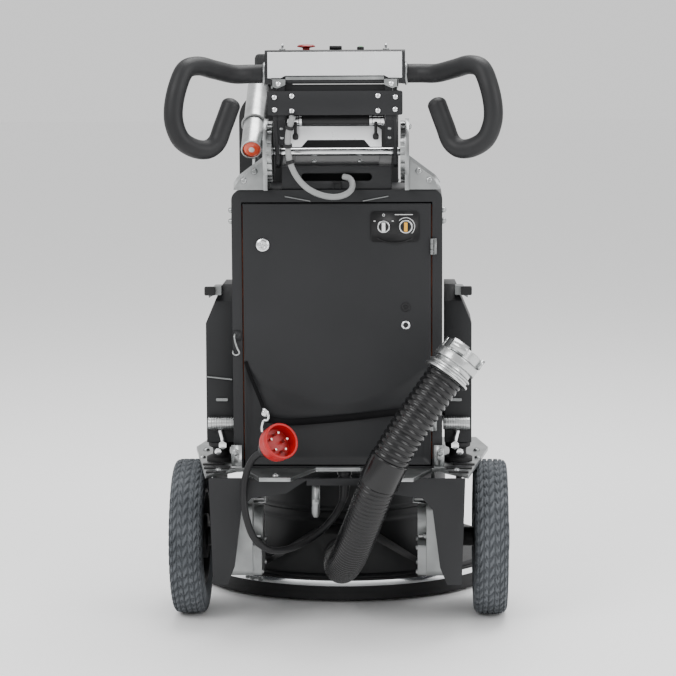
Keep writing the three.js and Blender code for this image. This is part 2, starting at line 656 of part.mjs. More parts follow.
// Controls on the console: a shank in its hole and a cap above the panel.
function control(x, shankR, capR, capFoot, capH) {
  return join(
    rodZ(shankR, x, CONTROL_Y, CONSOLE_TOP - 12, CONSOLE_TOP + capH, 12),
    rodZ(capR, x, CONTROL_Y, CONSOLE_TOP + capFoot, CONSOLE_TOP + capH, 16),
  );
}
const PRESS_TRAVEL = 4;
piece("toggle_left", control(CONTROLS[0], 3, 4.5, 3, 9), CHROME);
piece("stop_button", control(CONTROLS[1], 7, 18, PRESS_TRAVEL + 1, 10), RED_PLASTIC);
piece("speed_dial", control(CONTROLS[2], 7, 12, FIT, 8), SATIN_BLACK);
piece("start_button", control(CONTROLS[3], 6, 7, FIT, 7), SATIN_BLACK);
piece("toggle_right", control(CONTROLS[4], 3, 4.5, 3, 9), CHROME);

// Release bar and the sheet under it, lifted together to free the handle.
const LATCH_Y = HANDLE_PIVOT_Y - 52;
const RELEASE_HALF = ARM_IN - 16;
piece("release_bar", rodX(
  12, -RELEASE_HALF, RELEASE_HALF, LATCH_Y, PIVOT_Z + 66, 20,
), SATIN_BLACK);
piece("release_plate", standing(outline([
  [-80, PIVOT_Z + 53],
  [80, PIVOT_Z + 53],
  [90, PIVOT_Z + 46],
  [90, PIVOT_Z + 12],
  [68, PIVOT_Z + 12],
  [56, PIVOT_Z + 26],
  [-56, PIVOT_Z + 26],
  [-68, PIVOT_Z + 12],
  [-90, PIVOT_Z + 12],
  [-90, PIVOT_Z + 46],
]), LATCH_Y - 2, LATCH_Y + 2), WHITE_SHEET);

// ---- Water tank in front of the cabinet, its cap, and the signal lamp -------------------
const TANK_REAR = TOWER_FRONT + 7;
const TANK_FRONT = TANK_REAR + 115;
const TANK_TOP = TOWER_TOP + 188;
const TANK_LEFT = -212;
const TANK_RIGHT = 120;
const TANK_R = 54;
const tankOutline = new THREE.Shape();
tankOutline.moveTo(TANK_LEFT, PLATE_TOP + FIT);
tankOutline.lineTo(TANK_RIGHT, PLATE_TOP + FIT);
tankOutline.lineTo(TANK_RIGHT, TANK_TOP - TANK_R);
tankOutline.absarc(TANK_RIGHT - TANK_R, TANK_TOP - TANK_R, TANK_R, 0, Math.PI / 2, false);
tankOutline.lineTo(TANK_LEFT + TANK_R, TANK_TOP);
tankOutline.absarc(TANK_LEFT + TANK_R, TANK_TOP - TANK_R, TANK_R, Math.PI / 2, Math.PI, false);
const NECK_X = TANK_LEFT + 70;
const NECK_R = 27;
const CAP_R = 40;
const NECK_Y = (TANK_REAR + TANK_FRONT) / 2;
piece("tank", join(
  standing(tankOutline, TANK_REAR, TANK_FRONT, 6),
  rodZ(NECK_R, NECK_X, NECK_Y, TANK_TOP - 10, TANK_TOP + 38, 28),
), SATIN_BLACK);
piece("tank_cap", cut(
  rodZ(CAP_R, NECK_X, NECK_Y, TANK_TOP + 12, TANK_TOP + 79, 32),
  rodZ(NECK_R + 2, NECK_X, NECK_Y, TANK_TOP, TANK_TOP + 40, 28),
), SATIN_BLACK);

const LAMP_R = 22;
const LAMP_L = 240;
const LAMP_TILT = Math.PI / 6;
const LAMP_X = -170;
const LAMP_Y = TOWER_REAR + 132;
const LAMP_Z = TOWER_TOP + 138;
const lampBarrel = new THREE.CylinderGeometry(LAMP_R, LAMP_R, LAMP_L, 20);
lampBarrel.rotateX(LAMP_TILT).translate(LAMP_X, LAMP_Y, LAMP_Z);
piece("signal_lamp", join(
  lampBarrel,
  block(LAMP_X - 6, LAMP_X + 6, LAMP_Y - 7, LAMP_Y + 33, ROOF, LAMP_Z - 6),
), CHROME);

// ---- Side weights on a cross shaft through the cabinet, and their rubber buffers --------
const WEIGHT_IN = HALF_TOWER + WEIGHT_GAP;
const WEIGHT_OUT = WEIGHT_IN + WEIGHT_W;
const WEIGHT_CAP_T = 8;
const BUFFER_H = 40;
const BUFFER_X = WEIGHT_IN + WEIGHT_W / 2;
const BUFFER_Y = TOWER_REAR + 89;
const SHAFT_END = WEIGHT_OUT - WEIGHT_CAP_T - FIT;
piece("weight_axle", rodX(
  WEIGHT_SHAFT_R, -SHAFT_END, SHAFT_END, WEIGHT_PIVOT_Y, WEIGHT_PIVOT_Z,
), CHROME);
const WEIGHT_HEEL = PLATE_TOP + BUFFER_H + FIT;
const weightOutline = outline([
  [WEIGHT_PIVOT_Y - 58, WEIGHT_HEEL],
  [WEIGHT_PIVOT_Y - 52, WEIGHT_PIVOT_Z + 18],
  [WEIGHT_PIVOT_Y - 30, WEIGHT_PIVOT_Z + 32],
  [WEIGHT_PIVOT_Y + 40, WEIGHT_PIVOT_Z + 32],
  [WEIGHT_PIVOT_Y + 52, WEIGHT_PIVOT_Z + 100],
  [WEIGHT_PIVOT_Y + 52, WEIGHT_PIVOT_Z + 240],
  [WEIGHT_PIVOT_Y + 20, WEIGHT_PIVOT_Z + 282],
  [WEIGHT_PIVOT_Y - 76, WEIGHT_PIVOT_Z + 282],
  [WEIGHT_PIVOT_Y - 104, WEIGHT_PIVOT_Z + 250],
  [WEIGHT_PIVOT_Y - 110, WEIGHT_PIVOT_Z + 90],
  [WEIGHT_PIVOT_Y - 110, WEIGHT_HEEL],
]);
function weight(side) {
  const capSpan = outwards(side, WEIGHT_OUT - WEIGHT_CAP_T, WEIGHT_OUT);
  const cheek = join(
    rodX(30, ...capSpan, WEIGHT_PIVOT_Y, WEIGHT_PIVOT_Z),
    block(
      ...capSpan, WEIGHT_PIVOT_Y - 29, WEIGHT_PIVOT_Y + 29, WEIGHT_PIVOT_Z, WEIGHT_PIVOT_Z + 50,
    ),
  );
  const shoulder = standing(outline([
    [side * (WEIGHT_OUT + 30), WEIGHT_PIVOT_Z + 205],
    [side * WEIGHT_OUT, WEIGHT_PIVOT_Z + 205],
    [side * (WEIGHT_OUT - 33), WEIGHT_PIVOT_Z + 283],
    [side * (WEIGHT_OUT + 30), WEIGHT_PIVOT_Z + 283],
  ]), WEIGHT_PIVOT_Y - 130, WEIGHT_PIVOT_Y + 80);
  const body = sideways(weightOutline, ...outwards(side, WEIGHT_IN, WEIGHT_OUT));
  return cut(join(body, cheek), shoulder);
}
piece("weight_left", weight(-1), BLACK_PAINT);
piece("weight_right", weight(1), BLACK_PAINT);

const bufferProfile = [
  [0, PLATE_TOP + FIT],
  [30, PLATE_TOP + FIT],
  [30, PLATE_TOP + 9],
  [17, PLATE_TOP + 11],
  [17, PLATE_TOP + 28],
  [26, PLATE_TOP + 30],
  [26, PLATE_TOP + BUFFER_H],
  [0, PLATE_TOP + BUFFER_H],
];
piece("buffer_left", turnedZ(bufferProfile, 16, -BUFFER_X, BUFFER_Y), SATIN_BLACK);
piece("buffer_right", turnedZ(bufferProfile, 16, BUFFER_X, BUFFER_Y), SATIN_BLACK);

// ---- Grinding head: cover with drum, skirt, clamp band, motor and dust outlet -----------
const COVER_FOOT = COVER_TOP - COVER_T;
const RIM_FOOT = 30;
const coverProfile = [
  [DRUM_R + FIT, COVER_FOOT],
  [COVER_IN, COVER_FOOT],
  [COVER_IN, RIM_FOOT],
  [COVER_R, RIM_FOOT],
  [COVER_R, COVER_TOP - 5],
  [COVER_IN, COVER_TOP],
  [DRUM_R + FIT, COVER_TOP],
  [DRUM_R + FIT, COVER_FOOT],
];
const DRUM_CEILING = 140;
const DRUM_TOP = 254;
const drumProfile = [
  [0, DRUM_CEILING],
  [DRUM_R - DRUM_WALL, DRUM_CEILING],
  [DRUM_R - DRUM_WALL, COVER_FOOT],
  [DRUM_R, COVER_FOOT],
  [DRUM_R, DRUM_CEILING + 10],
  [DRUM_R - 8, DRUM_CEILING + 16],
  [DRUM_R - 8, DRUM_TOP - 18],
  [DRUM_R - 26, DRUM_TOP],
  [0, DRUM_TOP],
];
const headArm = outline([
  [HEAD_PIVOT_Y - 20, HEAD_PIVOT_Z],
  [HEAD_PIVOT_Y - 14, HEAD_PIVOT_Z + 14],
  [HEAD_PIVOT_Y, HEAD_PIVOT_Z + 20],
  [HEAD_PIVOT_Y + 14, HEAD_PIVOT_Z + 14],
  [HEAD_PIVOT_Y + 60, HEAD_PIVOT_Z - 60],
  [HEAD_PIVOT_Y + 130, COVER_TOP - 2],
  [HEAD_PIVOT_Y + 55, COVER_TOP - 2],
  [HEAD_PIVOT_Y + 20, HEAD_PIVOT_Z - 80],
]);
const HEAD_SIDES = 32;
function armSpan(side) {
  return outwards(side, HEAD_ARM_IN, HEAD_ARM_IN + HEAD_ARM_T);
}
function pinHole(side) {
  const holeSpan = outwards(side, HEAD_ARM_IN - 13, HEAD_ARM_IN + HEAD_ARM_T + 15);
  return rodX(PIN_R + FIT, ...holeSpan, HEAD_PIVOT_Y, HEAD_PIVOT_Z);
}
piece("head_cover", cut(
  join(
    turnedZ(coverProfile, HEAD_SIDES, 0, HEAD_Y),
    sideways(headArm, ...armSpan(-1)),
    sideways(headArm, ...armSpan(1)),
  ),
  pinHole(-1),
  pinHole(1),
), BLACK_PAINT);
piece("head_drum", turnedZ(drumProfile, HEAD_SIDES, 0, HEAD_Y), BLACK_PAINT);
piece("skirt", turnedZ([
  [SKIRT_R - SKIRT_T, SKIRT_LIFT],
  [SKIRT_R, SKIRT_LIFT],
  [SKIRT_R, SKIRT_LIFT + SKIRT_H],
  [SKIRT_R - SKIRT_T, SKIRT_LIFT + SKIRT_H],
  [SKIRT_R - SKIRT_T, SKIRT_LIFT],
], HEAD_SIDES, 0, HEAD_Y), SATIN_BLACK);
const BAND_T = 2;
const BAND_FOOT = SKIRT_H - 11;
const BAND_TOP = SKIRT_H + 1;
piece("clamp_band", turnedZ([
  [SKIRT_R + FIT, BAND_FOOT],
  [SKIRT_R + BAND_T, BAND_FOOT],
  [SKIRT_R + BAND_T, BAND_TOP],
  [SKIRT_R + FIT, BAND_TOP],
  [SKIRT_R + FIT, BAND_FOOT],
], HEAD_SIDES, 0, HEAD_Y), CHROME);
const MOTOR_FOOT = DRUM_TOP + FIT;
const MOTOR_TOP = DRUM_TOP + MOTOR_H;
piece("head_motor", join(
  turnedZ([
    [0, MOTOR_FOOT],
    [MOTOR_R + 16, MOTOR_FOOT],
    [MOTOR_R + 16, DRUM_TOP + 14],
    [MOTOR_R - 6, DRUM_TOP + 20],
    [MOTOR_R, DRUM_TOP + 26],
    [MOTOR_R, MOTOR_TOP - 46],
    [MOTOR_R + 4, MOTOR_TOP - 42],
    [MOTOR_R - 4, MOTOR_TOP - 10],
    [MOTOR_R - 16, MOTOR_TOP],
    [0, MOTOR_TOP],
  ], 24, 0, HEAD_Y),
  block(-58, 58, HEAD_Y + 80, HEAD_Y + MOTOR_R + 44, DRUM_TOP + 76, DRUM_TOP + 186),
), CAST_ALUMINIUM);

const PORT_R = HOSE_D / 2;
const PORT_WALL = 4;
const PORT_Z = COVER_TOP + PORT_R + 2;
const PORT_REAR = SKIRT_REAR - 37;
const HOOD_HALF = 165;
const HOOD_TOP = PORT_Z + PORT_R + 8;
const hoodOutline = outline([
  [-HOOD_HALF, COVER_TOP + FIT],
  [HOOD_HALF, COVER_TOP + FIT],
  [HOOD_HALF, COVER_TOP + 10],
  [PORT_R + 22, HOOD_TOP - 8],
  [PORT_R - 4, HOOD_TOP],
  [4 - PORT_R, HOOD_TOP],
  [-PORT_R - 22, HOOD_TOP - 8],
  [-HOOD_HALF, COVER_TOP + 10],
]);
const HOOD_FRONT = HEAD_Y - DRUM_R - 3;
piece("dust_outlet", cut(
  join(
    common(
      standing(hoodOutline, SKIRT_REAR + 14, HOOD_FRONT),
      rodZ(COVER_R - 4, 0, HEAD_Y, 0, HOOD_TOP + 10, HEAD_SIDES),
    ),
    rodY(PORT_R, 0, PORT_REAR, HOOD_FRONT, PORT_Z, 28),
  ),
  rodY(PORT_R - PORT_WALL, 0, PORT_REAR - 5, HOOD_FRONT - 17, PORT_Z, 28),
), SATIN_BLACK);

// Planet carrier inside the drum, and three satellites with diamond segments.
const CARRIER_FOOT = 72;
const SPINDLE_TOP = 100;
const SPINDLE_PLAY = 0.8; // so that the spindle's flats clear its hole as it turns
const orbit = [90, 210, 330].map((degrees) => {
  const turn = (degrees * Math.PI) / 180;
  return [SATELLITE_ORBIT * Math.cos(turn), HEAD_Y + SATELLITE_ORBIT * Math.sin(turn)];
});
piece("planet_carrier", cut(
  rodZ(CARRIER_R, 0, HEAD_Y, CARRIER_FOOT, DRUM_CEILING - 8, HEAD_SIDES),
  ...orbit.map(([x, y]) => rodZ(
    SPINDLE_R + SPINDLE_PLAY, x, y, CARRIER_FOOT - 12, SPINDLE_TOP + 4,
  )),
), CAST_ALUMINIUM);
function satellite([x, y]) {
  const disc = turnedZ([
    [0, 16],
    [SATELLITE_R, 16],
    [SATELLITE_R, 26],
    [SPINDLE_R + 14, 46],
    [SPINDLE_R, 46],
    [SPINDLE_R, SPINDLE_TOP],
    [0, SPINDLE_TOP],
  ], 20, x, y);
  const segments = [0, 1, 2, 3, 4, 5].map((i) => {
    const segment = new THREE.BoxGeometry(46, 18, 20).translate(0, SATELLITE_R - 22, 10);
    return segment.rotateZ((i * Math.PI) / 3).translate(x, y, 0);
  });
  return join(disc, ...segments);
}
piece("satellite_1", satellite(orbit[0]), CAST_ALUMINIUM);
piece("satellite_2", satellite(orbit[1]), CAST_ALUMINIUM);
piece("satellite_3", satellite(orbit[2]), CAST_ALUMINIUM);

// ---- Dust hose: leaves the outlet rearwards, rises across the door to its coupling ------
const hoseLine = [
  [0, PORT_REAR - FIT, PORT_Z],
  [0, PORT_REAR - 20, PORT_Z],
  [2, PORT_REAR - 62, PORT_Z + 3],
  [8, PORT_REAR - 122, PORT_Z + 18],
  [20, PORT_REAR - 190, PORT_Z + 49],
  [37, PORT_REAR - 249, 195],
  [57, PORT_REAR - 296, 251],
  [80, TOWER_REAR - 157, PLATE_BOTTOM - 5],
  [108, TOWER_REAR - 169, PLATE_BOTTOM + 58],
  [142, TOWER_REAR - 168, PLATE_BOTTOM + 114],
  [178, TOWER_REAR - 158, PLATE_BOTTOM + 165],
  [214, TOWER_REAR - 144, PLATE_BOTTOM + 213],
];
piece("dust_hose", swept(hoseLine, HOSE_D, 20, 10), HOSE_PLASTIC);
const COUPLING_L = 66;
const hoseEnd = new THREE.Vector3(...hoseLine.at(-1));
const hoseRun = hoseEnd.clone().sub(new THREE.Vector3(...hoseLine.at(-2))).normalize();
const couplingTurn = new THREE.Quaternion().setFromUnitVectors(
  new THREE.Vector3(0, 1, 0), hoseRun,
);
const couplingProfile = [
  [HOSE_D / 2 - 5, 1.5],
  [HOSE_D / 2 + 10, 1.5],
  [HOSE_D / 2 + 10, 8],
  [HOSE_D / 2 + 2, 10],
  [HOSE_D / 2 + 2, 24],
  [HOSE_D / 2 + 7, 26],
  [HOSE_D / 2 + 7, 44],
  [HOSE_D / 2 + 1, 46],
  [HOSE_D / 2 + 1, COUPLING_L],
  [HOSE_D / 2 - 5, COUPLING_L],
  [HOSE_D / 2 - 5, 1.5],
];
const coupling = turned(couplingProfile, 18);
coupling.applyQuaternion(couplingTurn).translate(hoseEnd.x, hoseEnd.y, hoseEnd.z);
piece("hose_coupling", coupling, CAST_ALUMINIUM);

// ---- Power cord: from a gland under the chassis plate to the five-pin plug --------------
const CORD_X = 12;
const CORD_Y = TOWER_REAR + 45;
const GLAND_FOOT = PLATE_BOTTOM - 26;
piece("cord_gland", rodZ(
  15, CORD_X, CORD_Y, GLAND_FOOT, PLATE_BOTTOM - FIT, 12,
), SATIN_BLACK);
const cordLine = [
  [CORD_X, CORD_Y, GLAND_FOOT - FIT],
  [CORD_X, CORD_Y, PLATE_BOTTOM - 36],
  [CORD_X - 4, CORD_Y - 2, PLATE_BOTTOM - 66],
  [-8, TOWER_REAR + 32, PLATE_BOTTOM - 96],
  [-36, TOWER_REAR + 9, PLATE_BOTTOM - 124],
  [-70, TOWER_REAR - 21, PLATE_BOTTOM - 142],
  [-104, TOWER_REAR - 53, PLATE_BOTTOM - 149],
  [-137, TOWER_REAR - 83, PLATE_BOTTOM - 142],
  [-163, TOWER_REAR - 100, PLATE_BOTTOM - 116],
  [-177, TOWER_REAR - 102, PLATE_BOTTOM - 80],
  [-183, TOWER_REAR - 96, PLATE_BOTTOM - 44],
  [-183, TOWER_REAR - 90, PLATE_BOTTOM - 10],
  [-176, TOWER_REAR - 89, PLATE_BOTTOM + 21],
  [-162, TOWER_REAR - 97, PLATE_BOTTOM + 46],
  [-143, TOWER_REAR - 112, PLATE_BOTTOM + 61],
];
piece("power_cord", swept(cordLine, CORD_D, 30, SWEPT_SIDES), BLACK_CABLE);
const plugFoot = new THREE.Vector3(...cordLine.at(-1));
const plugFace = new THREE.Vector3(-103, TOWER_REAR - 172, PLATE_BOTTOM + 92);
const plugRun = plugFace.clone().sub(plugFoot);
const PLUG_L = plugRun.length();
const PLUG_R = 36;
const plug = turned([
  [0, 5],
  [11, 5],
  [14, 26],
  [24, 30],
  [PLUG_R, 46],
  [PLUG_R, PLUG_L],
  [PLUG_R - 5, PLUG_L],
  [PLUG_R - 5, PLUG_L - 22],
  [0, PLUG_L - 22],
], 20);
const plugTurn = new THREE.Quaternion().setFromUnitVectors(
  new THREE.Vector3(0, 1, 0), plugRun.clone().normalize(),
);
plug.applyQuaternion(plugTurn).translate(plugFoot.x, plugFoot.y, plugFoot.z);
piece("power_plug", plug, RED_PLASTIC);

// ---- Console cable: from the cross plate down into the bracket's slot -------------------
piece("console_cord", swept([
  [-82, ARM_REAR - 14, PIVOT_Z + 74],
  [-87, ARM_REAR - 7, PIVOT_Z + 58],
  [-92, ARM_REAR + 4, PIVOT_Z + 36],
  [-93, ARM_REAR + 12, PIVOT_Z + 10],
  [-89, ARM_REAR + 15, PIVOT_Z - 17],
  [-77, ARM_REAR + 15, PIVOT_Z - 44],
  [-56, ARM_REAR + 14, PIVOT_Z - 67],
  [-28, ARM_REAR + 13, PIVOT_Z - 81],
  [-2, ARM_REAR + 15, PIVOT_Z - 85],
  [18, ARM_REAR + 22, PIVOT_Z - 81],
  [30, ARM_REAR + 34, PIVOT_Z - 72],
  [32, ARM_REAR + 49, PIVOT_Z - 60],
  [26, ARM_REAR + 61, PIVOT_Z - 51],
  [14, ARM_REAR + 69, SLOT_Z + 1],
], CONSOLE_CORD_D, 26, SWEPT_SIDES), GREY_CABLE);

export default group;
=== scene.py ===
import json
import math
import bmesh
import bpy
import numpy as np
from mathutils import Matrix, Vector

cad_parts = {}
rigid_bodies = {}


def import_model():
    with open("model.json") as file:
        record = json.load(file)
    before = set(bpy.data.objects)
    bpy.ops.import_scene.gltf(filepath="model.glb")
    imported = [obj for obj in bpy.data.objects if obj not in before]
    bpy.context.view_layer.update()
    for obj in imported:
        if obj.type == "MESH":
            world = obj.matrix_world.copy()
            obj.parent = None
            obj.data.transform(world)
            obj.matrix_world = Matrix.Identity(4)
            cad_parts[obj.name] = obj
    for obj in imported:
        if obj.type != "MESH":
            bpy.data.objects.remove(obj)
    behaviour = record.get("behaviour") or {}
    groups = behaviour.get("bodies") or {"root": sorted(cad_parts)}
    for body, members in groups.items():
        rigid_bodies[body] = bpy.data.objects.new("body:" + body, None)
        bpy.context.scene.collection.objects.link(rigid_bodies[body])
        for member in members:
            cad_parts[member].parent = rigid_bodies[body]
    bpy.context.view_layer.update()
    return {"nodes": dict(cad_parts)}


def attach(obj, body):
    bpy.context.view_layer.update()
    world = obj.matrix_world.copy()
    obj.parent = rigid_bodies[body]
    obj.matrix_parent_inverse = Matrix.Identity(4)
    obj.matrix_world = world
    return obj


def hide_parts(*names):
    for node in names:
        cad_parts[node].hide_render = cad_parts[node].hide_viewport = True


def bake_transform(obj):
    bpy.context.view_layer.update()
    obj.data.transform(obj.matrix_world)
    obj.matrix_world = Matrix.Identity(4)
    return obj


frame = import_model()

# ---- Camera: behind the machine on the operator's side, at chest height, looking slightly down.
EYE = Vector((0.165, -5.12, 1.185))
LOOK_DOWN = math.radians(7.1)
TURN = math.radians(1.93)
ROLL = math.radians(0.3)
camera_data = bpy.data.cameras.new("camera")
camera_data.lens = 127.8
camera_data.sensor_width = 36
camera = bpy.data.objects.new("camera", camera_data)
camera.location = EYE
camera.rotation_euler = (math.pi / 2 - LOOK_DOWN, ROLL, TURN)
objects_shown = bpy.context.scene.collection.objects
objects_shown.link(camera)
bpy.context.scene.camera = camera


# ---- Floor and light: a pale studio floor, a white room and three large soft lamps.
FLOOR_HALF = 30
FLOOR_GREY, FLOOR_ROUGHNESS = 0.97, 0.6
floor_paint = bpy.data.materials.new("studio_floor")
floor_paint.use_nodes = True
floor_shader = floor_paint.node_tree.nodes["Principled BSDF"]
floor_shader.inputs["Base Color"].default_value = (FLOOR_GREY, FLOOR_GREY, FLOOR_GREY, 1)
floor_shader.inputs["Roughness"].default_value = FLOOR_ROUGHNESS
floor_mesh = bpy.data.meshes.new("studio_floor")
floor_mesh.from_pydata([
    (x * FLOOR_HALF, y * FLOOR_HALF, 0) for x, y in ((-1, -1), (1, -1), (1, 1), (-1, 1))
], [], [(0, 1, 2, 3)])
floor_mesh.materials.append(floor_paint)
studio_floor = bpy.data.objects.new("studio_floor", floor_mesh)
objects_shown.link(studio_floor)

room = bpy.data.worlds.new("white_room")
room.use_nodes = True
room_light = room.node_tree.nodes["Background"].inputs
room_light["Color"].default_value = (1, 1, 1, 1)
room_light["Strength"].default_value = 1.0
bpy.context.scene.world = room


def soft_lamp(name, place, aim, size, power):
    """A square area lamp at a place, turned so that it shines at another."""
    data = bpy.data.lights.new(name, "AREA")
    data.size = size
    data.energy = power
    lamp = bpy.data.objects.new(name, data)
    lamp.location = place
    lamp.rotation_euler = (Vector(aim) - Vector(place)).to_track_quat("-Z", "Y").to_euler()
    objects_shown.link(lamp)


soft_lamp("key_left", (-2.6, -3.4, 3.2), (0, -0.2, 0.6), 2.4, 120)
soft_lamp("fill_right", (3.2, -2.6, 2.2), (0, -0.2, 0.5), 2.4, 80)
soft_lamp("top", (0.4, 0.7, 4.0), (0, -0.1, 0.6), 2.6, 150)


# ---- Dust hose: black ribbed suction hose, finer below a smooth rubber cuff and coarser above
# it. It is pushed on the outlet under the machine and ends in a claw coupling.
def surface(points, around=True, along=False, caps=False):
    """A closed mesh from a grid of points, rows by columns by xyz.

    around joins the last column to the first, along joins the last row to the first, and caps
    closes the first and last rows with one face each. Rows that shrink to a point are merged,
    and the faces are turned so that the volume inside comes out positive.
    """
    rows, columns = points.shape[:2]
    index = np.arange(rows * columns).reshape(rows, columns)
    if around:
        index = np.hstack([index, index[:, :1]])
    if along:
        index = np.vstack([index, index[:1]])
    quads = np.stack([index[:-1, :-1], index[:-1, 1:], index[1:, 1:], index[1:, :-1]], -1)
    faces = quads.reshape(-1, 4).tolist()
    if caps:
        faces += [index[0, :columns][::-1].tolist(), index[-1, :columns].tolist()]
    mesh = bpy.data.meshes.new("grid")
    mesh.from_pydata(points.reshape(-1, 3).tolist(), [], faces)
    return tidied(mesh)


def tidied(mesh):
    """The mesh with doubled points merged, faces turned outwards and smooth shading on."""
    work = bmesh.new()
    work.from_mesh(mesh)
    bmesh.ops.remove_doubles(work, verts=work.verts, dist=1e-6)
    bmesh.ops.dissolve_degenerate(work, edges=work.edges, dist=1e-7)
    if work.calc_volume(signed=True) < 0:
        bmesh.ops.reverse_faces(work, faces=work.faces)
    for face in work.faces:
        face.smooth = True
    work.to_mesh(mesh)
    work.free()
    return mesh


def route(points, count):
    """count points, evenly spaced along a centripetal Catmull-Rom curve through the given ones.

    The tangents at each span's ends come from the square roots of the chord lengths, and each
    span is the cubic with those ends and tangents.
    """
    given = np.array(points, float)
    padded = np.vstack([2 * given[0] - given[1], given, 2 * given[-1] - given[-2]])
    p0, p1, p2, p3 = (padded[i:len(padded) - 3 + i, None] for i in range(4))
    d0, d1, d2 = (np.sqrt(np.linalg.norm(b - a, axis=2, keepdims=True))
                  for a, b in ((p0, p1), (p1, p2), (p2, p3)))
    leave = ((p1 - p0) / d0 - (p2 - p0) / (d0 + d1) + (p2 - p1) / d1) * d1
    arrive = ((p2 - p1) / d1 - (p3 - p1) / (d1 + d2) + (p3 - p2) / d2) * d1
    t = np.linspace(0, 1, 60, endpoint=False)[None, :, None]
    curve = (p1 + leave * t + (3 * (p2 - p1) - 2 * leave - arrive) * t**2
             + (2 * (p1 - p2) + leave + arrive) * t**3)
    curve = np.vstack([curve.reshape(-1, 3), given[-1:]])
    run = np.append(0, np.cumsum(np.linalg.norm(np.diff(curve, axis=0), axis=1)))
    even = np.linspace(0, run[-1], count)
    return np.stack([np.interp(even, run, curve[:, k]) for k in range(3)], 1), even


def unit(vectors):
    """The vectors, each divided by its own length."""
    return vectors / np.linalg.norm(vectors, axis=-1, keepdims=True)


def tube(path, radius, sides, side_of):
    """A closed tube: at each point of the path, a ring of the given radius square to the path.

    The ring's first direction is the path's direction crossed with side_of, which the path
    never follows, and its second is square to both.
    """
    ahead = unit(np.gradient(path, axis=0))
    first = unit(np.cross(ahead, side_of))
    second = np.cross(ahead, first)
    turn = np.linspace(0, 2 * np.pi, sides, endpoint=False)
    ring = (np.cos(turn)[None, :, None] * first[:, None]
            + np.sin(turn)[None, :, None] * second[:, None])
    reach = np.broadcast_to(np.asarray(radius, float), len(path))[:, None, None]
    return surface(path[:, None] + reach * ring, caps=True)


def material_of(name, slot, dark, light, roughness, metallic=0.0, grain=400.0, bump=0.1,
                blotch=6.0, gloss_spread=0.08, coat=0.0, specular=0.5):
    """A material worked out from the piece's own coordinates, and the slot it goes with.

    A broad noise mixes the two shades, a middling one spreads the roughness to both sides of
    its mean, and a fine one gives the grain that bump raises.
    """
    material = bpy.data.materials.new(name)
    material.use_nodes = True
    nodes, links = material.node_tree.nodes, material.node_tree.links
    shader = nodes["Principled BSDF"]
    for socket, value in (("Metallic", metallic), ("Specular IOR Level", specular),
                          ("Coat Weight", coat), ("Coat Roughness", 0.12)):
        shader.inputs[socket].default_value = value
    place = nodes.new("ShaderNodeTexCoord")

    def noise(scale, detail):
        texture = nodes.new("ShaderNodeTexNoise")
        texture.inputs["Scale"].default_value = scale
        texture.inputs["Detail"].default_value = detail
        links.new(place.outputs["Object"], texture.inputs["Vector"])
        return texture.outputs["Fac"]

    shade = nodes.new("ShaderNodeValToRGB")
    for stop, at, colour in zip(shade.color_ramp.elements, (0.3, 0.72), (dark, light)):
        stop.position, stop.color = at, (*colour, 1)
    links.new(noise(blotch, 5), shade.inputs["Fac"])
    links.new(shade.outputs["Color"], shader.inputs["Base Color"])
    spread = nodes.new("ShaderNodeMapRange")
    spread.inputs["To Min"].default_value = max(0.03, roughness - gloss_spread)
    spread.inputs["To Max"].default_value = min(1.0, roughness + gloss_spread)
    links.new(noise(blotch * 5, 4), spread.inputs["Value"])
    links.new(spread.outputs["Result"], shader.inputs["Roughness"])
    relief = nodes.new("ShaderNodeBump")
    relief.inputs["Strength"].default_value = bump
    relief.inputs["Distance"].default_value = 0.0006
    links.new(noise(grain, 3), relief.inputs["Height"])
    links.new(relief.outputs["Normal"], shader.inputs["Normal"])
    return material, slot


def add_piece(name, mesh, body, finish, *stands_for, slot=None):
    """Puts a finished mesh in the scene as a piece on a body, in place of some CAD nodes.

    A finish is a material and its slot; only the material goes on the mesh, and the slot is not
    used, nor is slot=. A piece with no body is attached to none.
    """
    mesh.name = name
    piece = bpy.data.objects.new(name, mesh)
    objects_shown.link(piece)
    mesh.materials.append(finish[0])
    if body:
        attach(piece, body)
    slot = slot or finish[1]
    if stands_for:
        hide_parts(*stands_for)
    return piece


MM = 0.001
HOSE_D = 0.076
hose_points = np.array([
    (0, -185.3, 100), (0, -205, 100), (2, -247, 103), (8, -307, 118), (20, -375, 149),
    (37, -434, 195), (57, -481, 251), (80, -514, 315), (108, -526, 378), (142, -525, 434),
    (178, -515, 485), (214, -501, 533),
]) * MM
FINE_PITCH, COARSE_PITCH = 0.0088, 0.0122
CUFF_FROM, CUFF_TO = 0.44, 0.495  # along the hose
hose_path, hose_run = route(hose_points, 720)
fine_rib = 0.0024 * np.abs(np.sin(np.pi * hose_run / FINE_PITCH)) ** 0.7
coarse_rib = 0.0042 * np.abs(np.sin(np.pi * (hose_run - CUFF_TO) / COARSE_PITCH)) ** 0.55
in_cuff = (hose_run > CUFF_FROM) & (hose_run < CUFF_TO)
hose_reach = np.where(hose_run < CUFF_FROM, HOSE_D / 2 - 0.0034 + fine_rib,
                      HOSE_D / 2 - 0.0046 + coarse_rib)
hose_reach = np.where(in_cuff, HOSE_D / 2 + 0.0012, hose_reach)
hose_reach = np.where(hose_run < 0.012, HOSE_D / 2 - 0.0015, hose_reach)
hose_black = material_of("hose_black", "hose_plastic", (0.003, 0.003, 0.0035),
                         (0.006, 0.006, 0.0065), 0.24, grain=260, bump=0.03, specular=0.4)
coupling_metal = material_of("cast_alloy", "cast_aluminium", (0.46, 0.47, 0.47),
                             (0.60, 0.61, 0.61), 0.26, metallic=1.0, grain=520, bump=0.12)
dust_hose = add_piece(
    "ribbed_hose", tube(hose_path, hose_reach, 56, (1, 0, 0)),
    "chassis", hose_black, "dust_hose",
)


